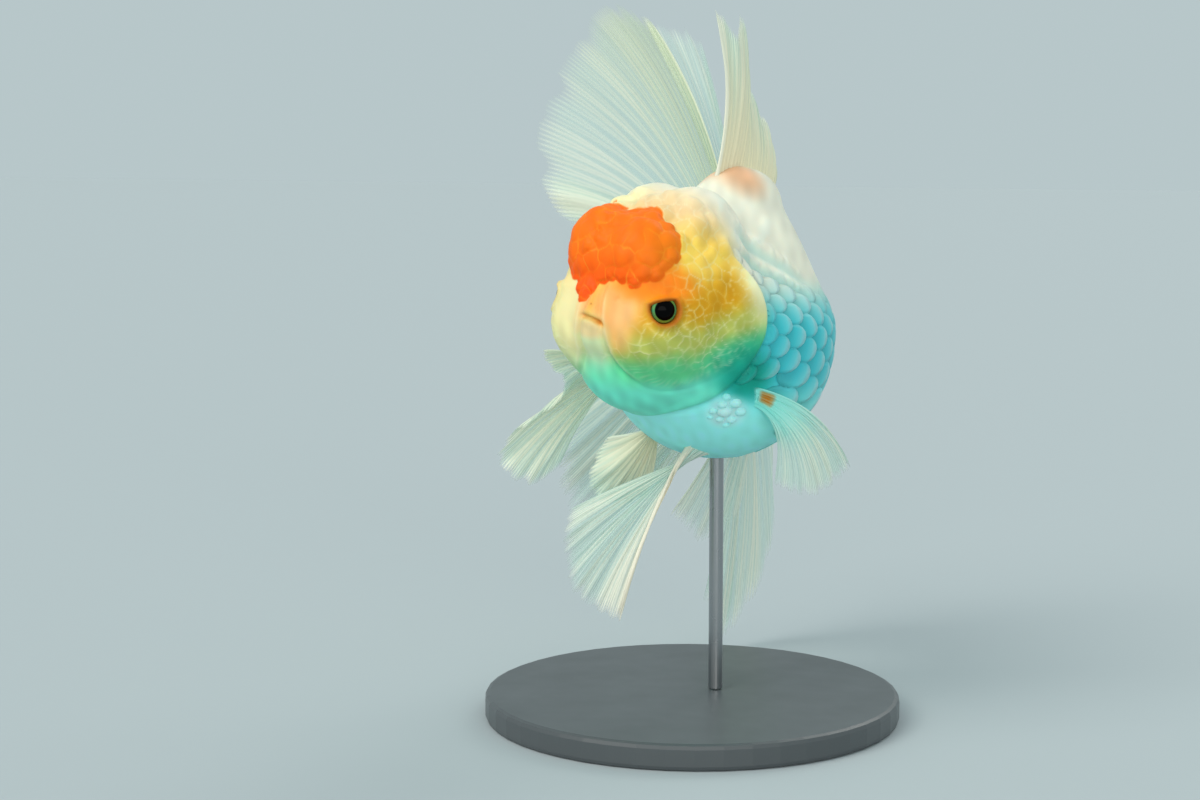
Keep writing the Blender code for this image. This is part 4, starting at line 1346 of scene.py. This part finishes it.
class GOLDFISH_OT_pearls(GoldfishOperator, bpy.types.Operator):
    """Adds the white bumps in front of the left pectoral fin"""

    bl_idname = "goldfish.pearls"
    bl_label = "Add pearls"

    def build(self, sizes, colours):
        made = make_pearls(sizes, colours)
        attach(made, "root")


class GOLDFISH_OT_eyes(GoldfishOperator, bpy.types.Operator):
    """Adds both eyes"""

    bl_idname = "goldfish.eyes"
    bl_label = "Add eyes"

    def build(self, sizes, colours):
        made = make_eyes(colours)
        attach(made, "root")
        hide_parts("eye_left", "eye_right")


class GOLDFISH_OT_fins(GoldfishOperator, bpy.types.Operator):
    """Adds a ragged, rayed sheet for every fin"""

    bl_idname = "goldfish.fins"
    bl_label = "Add fins"

    def build(self, sizes, colours):
        surface = painted("goldfish_fin", 0.45, coat=0.1, glow=0.25, clear=True)
        for seed, (name, fin) in enumerate(FINS.items()):
            made = make_fin(name, fin, sizes, colours, surface, seed)
            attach(made, "root")
            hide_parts(name)


class GOLDFISH_OT_stand(GoldfishOperator, bpy.types.Operator):
    """Gives the stand's solids their finishes"""

    bl_idname = "goldfish.stand"
    bl_label = "Finish stand"

    def build(self, sizes, colours):
        finishes = {
            "stand_base": plain("stand_base_finish", colours.base, 0.38),
            "stand_rod": plain("stand_rod_finish", colours.rod, 0.28, metallic=1.0),
        }
        for name, surface in finishes.items():
            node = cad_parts[name]
            for held in node.material_slots:
                held.material = surface


class GOLDFISH_OT_stage(GoldfishOperator, bpy.types.Operator):
    """Adds the floor, lights and camera"""

    bl_idname = "goldfish.stage"
    bl_label = "Add stage"

    def build(self, sizes, colours):
        scene = bpy.context.scene
        bpy.ops.mesh.primitive_plane_add(size=12.0, location=(0, 0, 0))
        floor = bpy.context.object
        floor.name = "floor"
        floor.data.materials.append(plain("floor_finish", colours.floor, 0.85, wear=0.02))
        world = bpy.data.worlds.new("studio")
        scene.world = world
        world.use_nodes = True
        backdrop = world.node_tree.nodes["Background"]
        backdrop.inputs["Color"].default_value = (*linear(colours.backdrop), 1.0)
        backdrop.inputs["Strength"].default_value = 1.0
        for name, heading, rise, spread, power in SUNS:
            light = bpy.data.lights.new(name, "SUN")
            light.energy = power
            light.color = linear(colours.sun)
            light.angle = math.radians(spread)
            made = bpy.data.objects.new(name, light)
            rise = math.radians(rise)
            flat = Vector(heading).normalized() * math.cos(rise)
            toward = Vector((-flat[0], flat[1], -math.sin(rise)))
            made.rotation_euler = toward.to_track_quat("-Z", "Y").to_euler()
            made.location = -toward
            scene.collection.objects.link(made)
        camera = bpy.data.cameras.new("camera")
        camera.lens = CAMERA_LENS
        camera.sensor_width = 36.0
        camera.clip_start = 0.01
        made = bpy.data.objects.new("camera", camera)
        made.location = CAMERA_PLACE
        toward = Vector(CAMERA_TARGET) - made.location
        made.rotation_euler = toward.to_track_quat("-Z", "Y").to_euler()
        scene.collection.objects.link(made)
        scene.camera = made
        scene.view_settings.view_transform = "Standard"


class GOLDFISH_PT_panel(bpy.types.Panel):
    """The goldfish's steps and settings"""

    bl_label = "Goldfish"
    bl_idname = "GOLDFISH_PT_panel"
    bl_space_type = "VIEW_3D"
    bl_region_type = "UI"
    bl_category = "Goldfish"

    def draw(self, context):
        for kind in OPERATORS:
            self.layout.operator(kind.bl_idname)
        for settings in (context.scene.goldfish_sizes, context.scene.goldfish_colours):
            for name in settings.__annotations__:
                self.layout.prop(settings, name)


OPERATORS = (
    GOLDFISH_OT_skin,
    GOLDFISH_OT_scales,
    GOLDFISH_OT_pearls,
    GOLDFISH_OT_eyes,
    GOLDFISH_OT_fins,
    GOLDFISH_OT_stand,
    GOLDFISH_OT_stage,
)
CLASSES = (GoldfishSizes, GoldfishColours, *OPERATORS, GOLDFISH_PT_panel)


def register():
    """Registers the classes and hangs the settings on the scene"""
    for kind in CLASSES:
        bpy.utils.register_class(kind)
    bpy.types.Scene.goldfish_sizes = PointerProperty(type=GoldfishSizes)
    bpy.types.Scene.goldfish_colours = PointerProperty(type=GoldfishColours)


def unregister():
    """Takes the settings off and unregisters the classes"""
    del bpy.types.Scene.goldfish_colours
    del bpy.types.Scene.goldfish_sizes
    for kind in reversed(CLASSES):
        bpy.utils.unregister_class(kind)


def main():
    """Builds the whole scene"""
    register()
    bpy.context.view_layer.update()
    bpy.ops.goldfish.skin()
    bpy.ops.goldfish.scales()
    bpy.ops.goldfish.pearls()
    bpy.ops.goldfish.eyes()
    bpy.ops.goldfish.fins()
    bpy.ops.goldfish.stand()
    bpy.ops.goldfish.stage()


if __name__ == "__main__":
    main()
